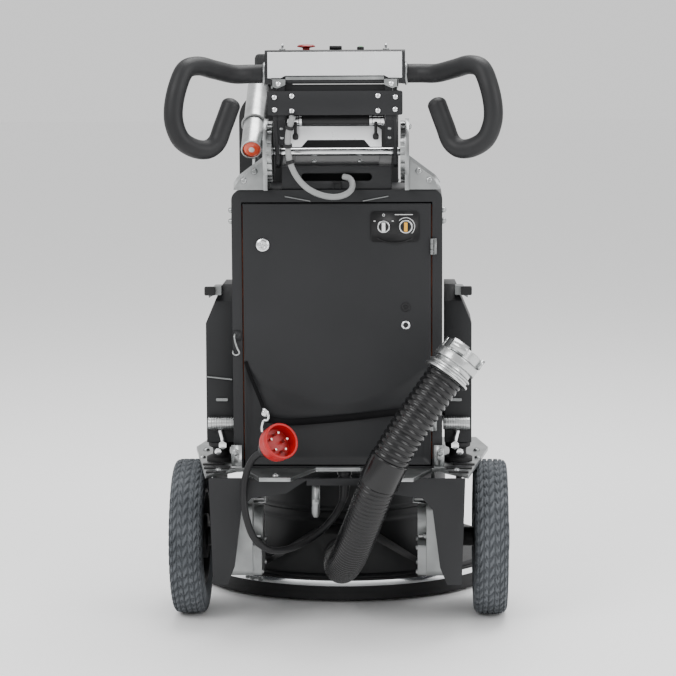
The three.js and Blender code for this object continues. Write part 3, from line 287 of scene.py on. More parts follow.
def turned(profile, centre, axis, sides=64, closed=False):
    """Carries a profile of (radius, distance along the axis) points round an axis.

    closed joins the profile's end to its start, for a ring with a hole through it.
    """
    along = unit(np.array(axis, float))
    helper = (1, 0, 0) if abs(along[0]) < 0.9 else (0, 1, 0)
    first = unit(np.cross(along, helper))
    second = np.cross(along, first)
    turn = np.linspace(0, 2 * np.pi, sides, endpoint=False)
    ring = np.cos(turn)[:, None] * first + np.sin(turn)[:, None] * second
    reach, distance = np.array(profile, float).T
    points = (np.array(centre, float) + distance[:, None, None] * along
              + reach[:, None, None] * ring[None])
    return surface(points, along=closed)


def softened(outline, radius, steps=4, closed=True):
    """An outline with each corner rounded: a parabola arc from radius before to radius after.

    Where a side is short, the arc takes at most 0.45 of it. An open outline keeps its ends.
    """
    points = np.array(outline, float)
    before, after = np.roll(points, 1, 0), np.roll(points, -1, 0)
    size = np.linalg.norm
    back = np.minimum(radius / np.maximum(size(before - points, axis=1), 1e-9), 0.45)[:, None]
    on = np.minimum(radius / np.maximum(size(after - points, axis=1), 1e-9), 0.45)[:, None]
    start = points + (before - points) * back
    end = points + (after - points) * on
    t = np.linspace(0, 1, steps)[None, :, None]
    arcs = (start[:, None] * (1 - t) ** 2 + 2 * points[:, None] * t * (1 - t)
            + end[:, None] * t**2)
    if closed:
        return arcs.reshape(-1, 2)
    return np.vstack([points[:1], arcs[1:-1].reshape(-1, 2), points[-1:]])


# ---- Hose coupling: cast alloy claw coupling, a flange against the hose, a waist, the locking
# collar with its three claws, and a rubber seal in the mouth.
hose_end = hose_points[-1]
hose_aim = unit(hose_end - hose_points[-2])
COUPLING_R = HOSE_D / 2
coupling_profile = softened([(COUPLING_R + out, at) for out, at in (
    (-0.005, 0.0015), (0.010, 0.0015), (0.010, 0.006), (0.004, 0.008), (0.004, 0.012),
    (0.008, 0.013), (0.008, 0.016), (0.002, 0.019), (0.001, 0.027), (0.0075, 0.029),
    (0.0075, 0.044), (0.001, 0.047), (0.001, 0.066), (-0.004, 0.066), (-0.005, 0.060),
)], 0.0012)
hose_coupling = add_piece(
    "claw_coupling", turned(coupling_profile, hose_end, hose_aim, 72, True),
    "chassis", coupling_metal, "hose_coupling",
)
claw_side = unit(np.cross(hose_aim, (0, 0, 1.0)))
claw_up = np.cross(claw_side, hose_aim)


def claw(start, stop):
    """A thick arc round the coupling's rim between two angles, as rows of a square section."""
    turn = np.radians(np.linspace(start, stop, 14))[:, None]
    ring = np.cos(turn) * claw_side + np.sin(turn) * claw_up
    corners = [(COUPLING_R + 0.0005, 0.050), (COUPLING_R + 0.0085, 0.050),
               (COUPLING_R + 0.0085, 0.069), (COUPLING_R + 0.0005, 0.069)]
    points = np.stack([hose_end + r * ring + d * hose_aim for r, d in corners], 1)
    return surface(points, caps=True)


claws = [
    add_piece("coupling_claw_%d" % (k + 1), claw(k * 120 + 15, k * 120 + 62), "chassis",
              coupling_metal)
    for k in range(3)
]
seal_black = material_of("seal_rubber", "skirt_rubber", (0.006, 0.006, 0.0065),
                         (0.011, 0.011, 0.012), 0.6, grain=300, bump=0.1, specular=0.3)
mouth_seal = add_piece(
    "coupling_seal",
    turned(softened([
        (COUPLING_R - 0.009, 0.056), (COUPLING_R - 0.0052, 0.056),
        (COUPLING_R - 0.0052, 0.064), (COUPLING_R - 0.009, 0.064),
    ], 0.001), hose_end, hose_aim, 56, True),
    "chassis", seal_black,
)

# ---- Power cord: thick black rubber lead, from a gland under the plate, down in a slack loop
# and up to the plug. The gland is moulded nylon with a tapered strain relief below it.
CORD_D = 0.014
cord_points = np.array([
    (12, -312, 293.7), (12, -312, 284), (8, -314, 254), (-8, -325, 224), (-36, -348, 196),
    (-70, -378, 178), (-104, -410, 171), (-137, -440, 178), (-163, -457, 204),
    (-177, -459, 240), (-183, -453, 276), (-183, -447, 310), (-176, -446, 341),
    (-162, -454, 366), (-143, -469, 381),
]) * MM
cord_path, cord_run = route(cord_points, 240)
cord_black = material_of("cord_rubber", "black_cable", (0.005, 0.005, 0.0055),
                         (0.010, 0.010, 0.011), 0.45, grain=500, bump=0.12, specular=0.3)
power_cord = add_piece(
    "supply_cord", tube(cord_path, CORD_D / 2, 20, (1, -1, 0)),
    "chassis", cord_black, "power_cord",
)
gland_x, gland_y = cord_points[0, :2]
nylon_black = material_of("moulded_nylon", "satin_black", (0.006, 0.006, 0.0065),
                          (0.012, 0.012, 0.013), 0.42, grain=600, bump=0.1, specular=0.3)
gland = add_piece(
    "cord_gland_nut",
    turned(softened([
        (0, 0.3197), (0.0150, 0.3197), (0.0150, 0.306), (0.0125, 0.305), (0.0125, 0.302),
        (0.0145, 0.300), (0.0140, 0.296), (0.0085, 0.2942), (0, 0.2942),
    ], 0.0008, closed=False), (gland_x, gland_y, 0), (0, 0, 1), 12),
    "chassis", nylon_black, "cord_gland",
)
relief_path, relief_run = route(cord_points[:5], 40)
RELIEF_LENGTH = 0.045
relief_part = relief_run < RELIEF_LENGTH
relief_path, relief_run = relief_path[relief_part], relief_run[relief_part]
relief_reach = (0.0115 - 0.0040 * relief_run / RELIEF_LENGTH
                + 0.0005 * np.cos(2 * np.pi * relief_run / 0.006))
strain_relief = add_piece(
    "cord_strain_relief", tube(relief_path, relief_reach, 24, (1, -1, 0)),
    "chassis", nylon_black, slot="black_cable",
)

# ---- Plug: red five-pin industrial plug, facing rearwards. The body is a turned red shell
# with a deep mouth, a red floor and five plated pins, and a black gland nut holds the cord.
plug_foot = cord_points[-1]
plug_face = np.array((-103, -529, 412)) * MM
plug_aim = plug_face - plug_foot
PLUG_LENGTH = float(np.linalg.norm(plug_aim))
plug_aim /= PLUG_LENGTH
PLUG_R = 0.036
plug_red = material_of("plug_red", "red_plastic", (0.33, 0.001, 0.002), (0.42, 0.002, 0.003),
                       0.30, grain=500, bump=0.05, specular=0.3)
plug_shell = turned(softened([
    (0, 0.030), (0.020, 0.030), (0.024, 0.034), (PLUG_R - 0.003, 0.046),
    (PLUG_R - 0.001, 0.052), (PLUG_R - 0.001, PLUG_LENGTH - 0.012),
    (PLUG_R, PLUG_LENGTH - 0.010), (PLUG_R, PLUG_LENGTH), (PLUG_R - 0.005, PLUG_LENGTH),
    (PLUG_R - 0.0055, PLUG_LENGTH - 0.028), (0, PLUG_LENGTH - 0.028),
], 0.0015, closed=False), plug_foot, plug_aim, 96)
plug = add_piece("plug_shell", plug_shell, "chassis", plug_red, "power_plug")
plug_nut = add_piece(
    "plug_gland_nut",
    turned(softened([
        (0.0074, 0.004), (0.0120, 0.004), (0.0150, 0.010), (0.0185, 0.012), (0.0185, 0.026),
        (0.0215, 0.028), (0.0215, 0.0298), (0.0074, 0.0298),
    ], 0.001), plug_foot, plug_aim, 14, True),
    "chassis", nylon_black,
)
plug_side = unit(np.cross(plug_aim, (0, 0, 1.0)))
plug_up = np.cross(plug_side, plug_aim)
pin_metal = material_of("pin_metal", "chrome", (0.78, 0.76, 0.70), (0.90, 0.88, 0.84), 0.22,
                        metallic=1.0, grain=400, bump=0.03)
PIN_ORBIT = 0.0185
PIN_R = 0.0032
for k in range(5):
    pin_turn = 2 * math.pi * (k + 0.3) / 5
    pin_foot = (plug_foot + PIN_ORBIT * (math.cos(pin_turn) * plug_side
                                         + math.sin(pin_turn) * plug_up))
    pin = turned([
        (0, PLUG_LENGTH - 0.0279), (PIN_R, PLUG_LENGTH - 0.0279), (PIN_R, PLUG_LENGTH - 0.008),
        (PIN_R * 0.7, PLUG_LENGTH - 0.006), (0, PLUG_LENGTH - 0.0055),
    ], pin_foot, plug_aim, 14)
    add_piece("plug_pin_%d" % (k + 1), pin, "chassis", pin_metal)

# ---- Console cable: grey cable from the console's cross plate down into the slot of the roof
# bracket, held to the left arm by three black clips. It is attached to no body.
CONSOLE_CORD_D = 0.012
console_points = np.array([
    (-82, -437, 1036), (-87, -430, 1020), (-92, -419, 998), (-93, -411, 972),
    (-89, -408, 945), (-77, -408, 918), (-56, -409, 895), (-28, -410, 881), (-2, -408, 877),
    (18, -401, 881), (30, -389, 890), (32, -374, 902), (26, -362, 911), (14, -354, 914),
]) * MM
console_path = route(console_points, 160)[0]
cable_grey = material_of("cable_grey", "grey_cable", (0.22, 0.225, 0.225), (0.29, 0.295, 0.295),
                         0.42, grain=500, bump=0.08)
console_cable = add_piece(
    "console_cable", tube(console_path, CONSOLE_CORD_D / 2, 20, (1, 0.35, 0)),
    None, cable_grey, "console_cord",
)
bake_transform(console_cable)
CLIP_STEPS = (12, 33, 50)
for k, step in enumerate(CLIP_STEPS):
    clip_aim = console_path[step + 1] - console_path[step - 1]
    clip = turned(softened([
        (0.0062, -0.0035), (0.0088, -0.0035), (0.0088, 0.0035), (0.0062, 0.0035),
    ], 0.0008), console_path[step], clip_aim, 28, True)
    add_piece("cable_clip_%d" % (k + 1), clip, "handle", nylon_black)

# ---- Tyres: grey non-marking rubber with five rows of wavy tread blocks and plain shoulders.
# Each is one grid, carried round the axle, whose grooves are sunk into the outer surface.
AXLE_Y, AXLE_Z = -0.220, 0.160
WHEEL_X = 0.310
TYRE_R, TYRE_W = 0.160, 0.070
GROOVE = 0.0055
TREAD_ROWS, TREAD_BARS = 5, 44
BEAD_R, SEAT_R, SHOULDER_R = 0.105, 0.0983, 0.118
tyre_grey = material_of("tyre_rubber", "grey_tyre", (0.060, 0.067, 0.075), (0.105, 0.114, 0.125),
                        0.82, grain=900, bump=0.25, blotch=14)


def tyre_mesh(side):
    """The tyre's carcass is an oval section; its crown sinks where two sets of waves meet.

    Across, grooves lie where cosine of the row count is low; round the tyre, slanting grooves
    lie where a sawtooth of angle plus a wave of the row is low. Both fade into the sidewall,
    which is plain.
    """
    across = np.linspace(-1, 1, 61)
    turn = np.linspace(0, 2 * np.pi, 640, endpoint=False)
    half = TYRE_W / 2
    crown = TYRE_R - GROOVE - 0.026 * np.abs(across) ** 4.2
    width = half * np.sign(across) * np.abs(np.sin(np.abs(across) * np.pi / 2)) ** 0.95
    zigzag = 0.33 * np.sin(np.pi * TREAD_ROWS * across[:, None])
    bars = np.cos(2 * np.pi * (turn[None, :] * TREAD_BARS / (2 * np.pi) + zigzag
                               + 0.5 * np.round(across[:, None] * TREAD_ROWS / 2)))
    lanes = np.cos(np.pi * TREAD_ROWS * across)[:, None] * np.ones_like(turn)[None, :]
    block = np.clip((bars + 0.72) * 3.0, 0, 1) * np.clip((np.abs(lanes) - 0.22) * 6.0, 0, 1)
    tread = np.clip((0.94 - np.abs(across)) * 14, 0, 1)[:, None]
    reach = crown[:, None] + GROOVE * block * tread
    plain = np.array([
        (SHOULDER_R, half * 0.97), (BEAD_R, half * 0.78), (SEAT_R, half * 0.66),
        (SEAT_R, -half * 0.66), (BEAD_R, -half * 0.78), (SHOULDER_R, -half * 0.97),
    ])
    radii = np.vstack([reach, np.repeat(plain[:, :1], len(turn), 1)])
    offsets = np.append(width, plain[:, 1])[:, None] * np.ones_like(turn)[None, :]
    points = np.stack([
        side * WHEEL_X + offsets,
        AXLE_Y + radii * np.cos(turn)[None, :],
        AXLE_Z + radii * np.sin(turn)[None, :],
    ], -1)
    return surface(points, along=True)


for side, word in ((-1, "left"), (1, "right")):
    add_piece("tread_" + word, tyre_mesh(side), word + "_wheel", tyre_grey, "tyre_" + word)

# ---- Rims: pressed steel, painted black, dished inside the tyre, with five wheel bolts and a
# deep hub cap. The stub shaft behind them runs into the gearbox.
OUTWARDS, INWARDS = (1, 0, 0), (-1, 0, 0)  # on the right-hand side
REARWARDS, UPWARDS = (0, -1, 0), (0, 0, 1)


def spun(profile, centre, axis, sides=64, closed=False, corner=0.8):
    """A profile in millimetres, its corners eased, carried round an axis."""
    eased_profile = softened(profile, corner, closed=closed) * MM
    return turned(eased_profile, np.array(centre, float) * MM, axis, sides, closed)


def joined(*meshes):
    """Several closed meshes as one mesh, each still a shell of its own."""
    work = bmesh.new()
    for mesh in meshes:
        work.from_mesh(mesh)
    whole = bpy.data.meshes.new("shells")
    work.to_mesh(whole)
    work.free()
    return whole


def bolts(places, axis, radius=5.0, height=4.0):
    """Button-head bolts at the given places: a low dome with a sunk socket, turned on an axis."""
    head = [(0, -1), (radius, -1), (radius, 0.3 * height), (0.82 * radius, 0.8 * height),
            (0.5 * radius, height), (0.46 * radius, height), (0.44 * radius, 0.45 * height),
            (0, 0.45 * height)]
    return joined(*[spun(head, place, axis, 18, corner=0.4) for place in places])


def rounded(piece, width, segments=2):
    """Rounds the piece's sharp edges by a width in millimetres."""
    bevel = piece.modifiers.new("rounded_edges", "BEVEL")
    bevel.width = width * MM
    bevel.segments = segments
    bevel.limit_method = "ANGLE"
    bevel.angle_limit = math.radians(30)
    bevel.harden_normals = True
    return piece


def pair(name, mesh, body, finish, node="", edge=0, slot=None):
    """A right-hand mesh and its mirror image, whose x has the other sign, as two pieces.

    A star in a name stands for the side's word. edge is the rounding in millimetres.
    """
    twin = mesh.copy()
    twin.transform(Matrix.Scale(-1, 4, OUTWARDS))
    twin.flip_normals()
    for word, shape in (("left", twin), ("right", mesh)):
        nodes = [node.replace("*", word)] if node else []
        piece = add_piece(name.replace("*", word), shape, body.replace("*", word), finish,
                          *nodes, slot=slot)
        if edge:
            rounded(piece, edge)


black_paint = material_of("black_powder_coat", "black_paint", (0.014, 0.0145, 0.0155),
                          (0.020, 0.0205, 0.022), 0.45, grain=1300, bump=0.22, blotch=3,
                          specular=0.22)
zinc = material_of("zinc_plate", "zinc", (0.24, 0.25, 0.25), (0.42, 0.43, 0.43), 0.34,
                   metallic=0.95, grain=300, bump=0.12, blotch=18, gloss_spread=0.12)
chrome = material_of("bright_plating", "chrome", (0.72, 0.73, 0.74), (0.84, 0.85, 0.86), 0.16,
                     metallic=1.0, grain=300, bump=0.03)
pair("wheel_rim_*", spun([
    (0, -98.3), (20, -98.3), (20, -34), (46, -34), (46, -12), (70, -9), (90, -12), (90, -31),
    (98, -31), (98, 31), (90, 31), (88, 16), (76, 7), (58, 6), (44, 14), (34, 16), (33, 38),
    (29, 40), (0, 40),
], (310, -220, 160), OUTWARDS, 80, corner=2), "*_wheel", black_paint, "rim_*")
WHEEL_BOLT_R = 62
bolt_turns = np.radians(np.arange(5) * 72 + 18)
pair("wheel_bolts_*", bolts([
    (316.5, -220 + WHEEL_BOLT_R * y, 160 + WHEEL_BOLT_R * z)
    for y, z in zip(np.cos(bolt_turns), np.sin(bolt_turns))
], OUTWARDS, 8, 7), "*_wheel", zinc)


# ---- Wheel drives: cast aluminium gearboxes bolted inside the apron's cheeks, each with a
# cover ring, a long clamp bolt that points inwards, and a light bracket over it.
def eased(node, name, body, finish, width=1.2, segments=2):
    """A copy of a CAD node's shape, merged and made of whole faces, with rounded edges.

    A star in the names stands for a side's word, and makes one piece for each side.
    """
    for word in ("left", "right") if "*" in node else ("",):
        own_node, own_name = node.replace("*", word), name.replace("*", word)
        work = bmesh.new()
        work.from_mesh(frame["nodes"][own_node].data)
        bmesh.ops.remove_doubles(work, verts=work.verts, dist=1e-5)
        bmesh.ops.dissolve_limit(work, angle_limit=math.radians(1), verts=work.verts,
                                 edges=work.edges)
        bmesh.ops.triangulate(work, faces=[f for f in work.faces if len(f.verts) > 4])
        for face in work.faces:
            face.smooth = True
        mesh = bpy.data.meshes.new(own_name)
        work.to_mesh(mesh)
        work.free()
        rounded(add_piece(own_name, mesh, body.replace("*", word), finish, own_node), width,
                segments)


def slab(outline, axis, start, stop, corner=0):
    """An outline in millimetres, carried straight along x, y or z from start to stop.

    The outline's pairs are the other two coordinates in order, and corner rounds its corners.
    """
    flat = softened(outline, corner) if corner else np.array(outline, float)
    level = "xyz".index(axis)
    points = np.insert(np.stack([flat, flat]), level, 0, axis=2)
    points[0, :, level], points[1, :, level] = start, stop
    return surface(points * MM, caps=True)


def oblong(x0, x1, y0, y1):
    """The four corners of an upright oblong."""
    return [(x0, y0), (x1, y0), (x1, y1), (x0, y1)]


drive_alloy = material_of("drive_casting", "cast_aluminium", (0.26, 0.27, 0.27),
                          (0.38, 0.39, 0.39), 0.46, metallic=0.85, grain=700, bump=0.35,
                          blotch=12)
eased("drive_*", "drive_casting_*", "chassis", drive_alloy, 2.5)
clamp_bolt = [(0, -2), (7, -2), (7, 5), (4, 5.5), (4, 16), (0, 17)]
top_bracket = [(150, 243), (150, 262), (154, 262), (154, 247), (176, 247), (176, 243)]
pair("drive_bolts_*", joined(
    spun(clamp_bolt, (178, -278, 172), INWARDS, 20),
    bolts([(160, y, z) for y in (-280, -190) for z in (98, 148)], INWARDS, 5, 4),
    slab(top_bracket, "y", -292, -262),
), "chassis", zinc)

# ---- Rear apron: one folded sheet painted black, two legs joined by an arch, with cheeks
# turned forwards that carry the axle stubs.
eased("rear_apron", "folded_apron", "chassis", black_paint, 1.6)
pair("apron_bolts_*", bolts([(248, y, z) for y in (-300, -175) for z in (200, 290)],
                            OUTWARDS, 6, 4), "chassis", zinc)

# ---- Chassis plate: thick zinc-plated sheet with two rearward tongues that carry the cabinet,
# small foot brackets and black pads at the cabinet's rear corners, and a hanger in the middle.
eased("base_plate", "chassis_plate", "chassis", zinc, 1.0)
foot_bolt = [(0, -1), (7.5, -1), (7.5, 5), (4.5, 6), (4.5, 12), (0, 13)]
pair("foot_bracket_*", joined(
    slab(oblong(193, 214, 328.6, 376), "y", -371, -366, 1.5),
    slab(oblong(193, 214, -372, -359), "z", 328.4, 333, 1),
    spun(foot_bolt, (205, -371, 362), REARWARDS, 6, corner=0.3),
), "chassis", zinc)
pair("deck_pads_*", joined(*[
    slab(oblong(*sides), "z", 328.2, 331, 3)
    for sides in ((222, 262, -418, -404), (218, 270, -372, -352), (232, 276, -330, -316))
]), "chassis", nylon_black, edge=0.6)
pair("plate_bolts_*", bolts([
    (120, -452, 328), (238, -390, 328), (284, -240, 328), (284, -150, 328),
], UPWARDS, 7, 5), "chassis", zinc)
hanger = [(-50, 319.5), (-50, 248), (-46, 240), (-38, 240), (-34, 248), (-34, 319.5)]
hanger_bolt = [(0, 0), (7, 0), (7, 5), (4, 6), (4, 11), (0, 12)]
add_piece("centre_hanger", joined(
    slab(hanger, "y", -428, -424, 2),
    spun(hanger_bolt, (-42, -428, 272), REARWARDS, 6, corner=0.3),
), "chassis", zinc)

# ---- Cabinet: folded and welded steel sheet, powder coated black, with bolts through its
# sides. Inside is the drive inverter, and rust-red primer shows in the gap beside the door.
eased("tower_shell", "cabinet_shell", "chassis", black_paint, 2.5, 3)
eased("inverter", "inverter_casting", "chassis", drive_alloy, 1.5)
primer = material_of("primer", "black_paint", (0.12, 0.025, 0.008), (0.30, 0.08, 0.03), 0.7,
                     grain=300, bump=0.2, blotch=30)
pair("cabinet_bolts_*", bolts([(210, -330, 846), (210, -330, 824)], OUTWARDS, 6, 8), "chassis",
     zinc)
pair("primer_edge_*", slab(oblong(188.0, 189.8, 345, 858), "y", -352, -350), "chassis", primer)

# ---- Door: one pressed sheet with folded edges, hung on two chrome hinges. Its lower half is
# set in behind a curved step, lowest in the middle.
DOOR_HALF, DOOR_FOOT, DOOR_TOP, DOOR_REAR, DOOR_FRONT = 187.5, 334, 861, -361, -347
FOLD_R = 3


def door_mesh():
    """Front and back are two sheets of depth over width and height, joined at the edges.

    The front sinks 7 mm across a parabola that is lowest in the middle, then 2.5 mm more
    further down, and bows out slightly above it. It rounds off as a quarter circle within a
    fold's radius of each edge. The back follows 3 mm behind, and stands forward to the full
    depth within that radius.
    """
    step = np.array([0, 0.3, 0.9, 1.9, FOLD_R])
    inset = FOLD_R + 0.1
    x = np.concatenate([step - DOOR_HALF, np.linspace(inset - DOOR_HALF, DOOR_HALF - inset, 84),
                        DOOR_HALF - step[::-1]])
    z = np.concatenate([DOOR_FOOT + step, np.linspace(DOOR_FOOT + inset, DOOR_TOP - inset, 150),
                        DOOR_TOP - step[::-1]])
    wide, high = np.meshgrid(x, z)
    step_line = 448 + 82 * (wide / DOOR_HALF) ** 2
    sink = np.clip((step_line + 17 - high) / 34, 0, 1)
    sink = 7 * sink**2 * (3 - 2 * sink) + 2.5 * np.clip((step_line - high) / 110, 0, 1)
    rise = (high - DOOR_FOOT) / (DOOR_TOP - DOOR_FOOT)
    bow = 1.2 * (1 - (wide / DOOR_HALF) ** 2) * np.sin(np.pi * rise)
    edge = np.minimum(DOOR_HALF - np.abs(wide),
                      np.minimum(high - DOOR_FOOT, DOOR_TOP - high))
    fade = np.clip(edge / 14, 0, 1)
    from_fold = np.clip((FOLD_R - edge) / FOLD_R, 0, 1)
    turn_in = FOLD_R * (1 - np.sqrt(np.clip(1 - from_fold**2, 0, 1)))
    front = DOOR_REAR + turn_in + (sink - bow) * fade
    back = np.where(edge <= FOLD_R + 0.01, DOOR_FRONT, DOOR_REAR + 3 + (sink - bow) * fade)
    near = np.stack([wide, front, high], -1)
    far = np.stack([wide, back, high], -1)[:, ::-1]
    return surface(np.concatenate([near, far], 1) * MM, caps=True)


add_piece("pressed_door", door_mesh(), "cabinet_door", black_paint, "door")
LOCK = (-147.5, DOOR_REAR, 779)
lock_face = [(0, 0.3), (14, 0.3), (14, 3.5), (12.5, 5.5), (9.5, 6.5), (9, 9), (5.5, 9),
             (5, 5.5), (0, 5.5)]
add_piece("lock_head", joined(
    spun(lock_face, LOCK, REARWARDS, 40),
    spun([(0, 5), (2.6, 5), (2.6, 8.6), (0, 8.6)], LOCK, REARWARDS, 20, corner=0.3),
    spun([(0, -16), (7.5, -16), (7.5, 1), (0, 1)], LOCK, REARWARDS, 24),
    slab(oblong(-177.5, -140, 772, 786), "y", -345.5, -342, 2),
), "door_lock", chrome, "cam_lock")
edge_grey = material_of("bare_edge", "zinc", (0.16, 0.165, 0.165), (0.26, 0.27, 0.27), 0.4,
                        metallic=0.6)
for word, foot in (("upper", 759), ("lower", 404)):
    barrel = [spun([(0, a), (3, a), (3, a + 10), (0, a + 10)], (189, -365.5, foot), UPWARDS, 24)
              for a in (0.2, 11, 21.8)]
    leaf = slab(oblong(190, 199, foot, foot + 32), "y", -361.6, -357.3, 2)
    add_piece("door_hinge_" + word, joined(*barrel, leaf), "chassis", edge_grey, "hinge_" + word,
              slot="chrome")
add_piece("cable_grommet", spun([(4, 0.2), (9, 0.2), (9, 2.4), (7, 3.6), (4, 3)],
                                (137, -361.2, 654), REARWARDS, 32, True),
          "cabinet_door", seal_black, slot="satin_black")
KEY = (137, -361.2, 618)
add_piece("key_switch", spun([(0, -1), (9, -1), (9, 2.5), (7, 4), (5.2, 3.6), (5, 1.5),
                              (0, 1.5)], KEY, REARWARDS, 32), "cabinet_door", chrome)
add_piece("key_barrel", spun([(0, 1.6), (4.6, 1.6), (4.6, 2.6), (0, 2.6)], KEY, REARWARDS, 24,
                             corner=0.3), "cabinet_door", nylon_black)
pair("roof_fold_*", slab([(103, 874), (52, 864.5), (52, 866.6), (103, 876.2)], "y", -360.2,
                         -356.9), "chassis", edge_grey, edge=0.4)

# ---- Door switches: a dark moulded plate with two rotary switches. One has a silver ring and a
# white lever, the other a silver ring, an amber lever and an arc scale.
SWITCH_Z = 815
MODE_X, SPEED_X = 93.5, 137.5
MARK_REAR, MARK_FRONT = -364.2, -363.9


def arc(centre, inner, outer, depth, start, stop):
    """A thin strip of ring on an upright face, in millimetres, between two angles in degrees."""
    turn = np.radians(np.linspace(start, stop, 16))
    corners = [(inner, 0), (outer, 0), (outer, -depth), (inner, -depth)]
    points = np.stack([np.stack([
        centre[0] + r * np.cos(turn), centre[1] + y + 0 * turn, centre[2] + r * np.sin(turn),
    ], 1) for r, y in corners], 1)
    return surface(points * MM, caps=True)


add_piece("switch_panel", joined(
    slab(oblong(67.5, 163.5, 785, 845), "y", -364, -361.3, 8),
    arc((115.5, -363.5, 845), 62, 64, 0.8, 236, 304),
), "cabinet_door", nylon_black, "switch_plate")
lever_white = material_of("lever_white", "white_sheet", (0.66, 0.67, 0.67), (0.76, 0.77, 0.77),
                          0.35, bump=0.04)
lever_amber = material_of("lever_amber", "yellow_plastic", (0.62, 0.30, 0.02), (0.74, 0.40, 0.04),
                          0.35, bump=0.04)
mark_white = material_of("printed_white", "white_sheet", (0.55, 0.56, 0.56), (0.62, 0.63, 0.63),
                         0.5, bump=0.02)
for word, x, cap_r, lever in (("mode", MODE_X, 13, lever_white),
                              ("speed", SPEED_X, 14, lever_amber)):
    body = word + "_switch"
    centre = (x, DOOR_REAR, SWITCH_Z)
    collar = [(cap_r - 3.4, 3.4), (cap_r, 3.4), (cap_r, 6.5), (cap_r - 1.2, 8.2),
              (cap_r - 3.4, 8.2)]
    add_piece(body + "_ring", joined(
        spun(collar, centre, REARWARDS, 48, True, 0.5),
        spun([(0, -10), (7.5, -10), (7.5, 4), (0, 4)], centre, REARWARDS, 24),
    ), body, chrome)
    add_piece(body + "_cap", spun([
        (0, 3.4), (cap_r - 3.5, 3.4), (cap_r - 3.5, 9.5), (cap_r - 5, 11), (0, 11.5),
    ], centre, REARWARDS, 48), body, nylon_black, word + "_knob")
    rounded(add_piece(body + "_lever", slab(
        oblong(x - 3.4, x + 3.4, SWITCH_Z - 9, SWITCH_Z + 9), "y", -378.5, -371.5, 1.5,
    ), body, lever), 0.8)
add_piece("switch_marks", joined(
    arc((SPEED_X, MARK_FRONT, SWITCH_Z), 17.0, 18.4, 0.3, -50, 140),
    slab(oblong(MODE_X - 20, MODE_X - 16, 825, 827), "y", MARK_REAR, MARK_FRONT),
    slab(oblong(MODE_X + 16, MODE_X + 20, 825, 827), "y", MARK_REAR, MARK_FRONT),
    arc((MODE_X, MARK_FRONT, 838), 1.6, 2.6, 0.3, 0, 359),
    slab(oblong(SPEED_X - 22, SPEED_X + 14, 838, 839.6), "y", MARK_REAR, MARK_FRONT),
), "cabinet_door", mark_white)

# ---- Roof bracket: folded black sheet with a cable slot, screwed to the cabinet roof, with a
# sloping guard plate and a square cable bracket in front of the slot.
eased("top_bracket", "roof_bracket", "chassis", black_paint, 1.4)
rounded(add_piece("guard_plate", slab([(-344, 936), (-300, 950), (-300, 953), (-345, 939)],
                                      "x", -84, 84), "chassis", black_paint), 0.8)
add_piece("guard_bolts", bolts([(-46, -330, 942.5), (46, -330, 942.5)], (0, -0.3, 0.95), 6, 4),
          "chassis", zinc)
rounded(add_piece("cable_bracket", joined(*[
    slab(oblong(*sides), "y", -357, -352.2)
    for sides in ((-8, -5.5, 889, 905), (5.5, 8, 889, 905), (-5.6, 5.6, 902, 905))
]), "chassis", nylon_black), 0.5)

# ---- Toothed quadrants: zinc-plated plates either side of the handle, with cut teeth turned
# inwards and a sloping gusset bolted down to the roof. The handle's steel shaft joins them.
eased("quadrant_*", "toothed_quadrant_*", "chassis", zinc, 0.9)
pair("gusset_web_*", slab([(144, 948), (192, 913), (205, 890), (205, 888.5), (190, 888.5),
                           (144, 888.5)], "y", -362, -359), "chassis", zinc, edge=0.8)
pair("gusset_bolts_*", joined(
    bolts([(163, -362, 925), (184, -362, 907)], REARWARDS, 6.5, 4.5),
    bolts([(144, -355, 905), (144, -300, 905), (144, -330, 1012)], OUTWARDS, 6, 5),
), "chassis", zinc)
add_piece("steel_shaft", spun([(0, -140), (8, -140), (8, 140), (0, 140)], (0, -330, 962),
                              OUTWARDS, 40, corner=1.2), "handle", chrome, "pivot_shaft")

# ---- Handle arms: cut and folded black sheet on the pivot shaft, each with an inward flange
# at the rear and bolts, tied together by a cross plate with eight plated bolts.
eased("arm_*", "handle_arm_*", "handle", black_paint, 1.2)
pair("arm_flange_*", slab([(-423, 1097), (-423, 1030), (-378, 978), (-374, 978), (-419, 1032),
                           (-419, 1097)], "x", 98, 112.8), "handle", black_paint, edge=0.8)
pair("arm_bolts_*", joined(
    bolts([(106, -404, 1012), (106, -388, 993)], (0, -0.76, 0.65), 4.5, 4),
    bolts([(121, -405, 1080), (121, -365, 1080), (121, -365, 1040)], OUTWARDS, 5, 4),
), "handle", zinc)
eased("cross_plate", "arm_cross_plate", "handle", black_paint, 1.0)
rounded(add_piece("arm_back_plate", slab(oblong(-112.5, 112.5, 1083, 1097.4), "y", -412, -409),
                  "handle", black_paint), 0.6)
add_piece("cross_bolts", bolts([
    (side * x, -428.3, z) for side in (-1, 1)
    for x, z in ((118, 1073), (84, 1075.5), (117.5, 1049), (84, 1046.5))
], REARWARDS, 5.6, 4), "handle", chrome)

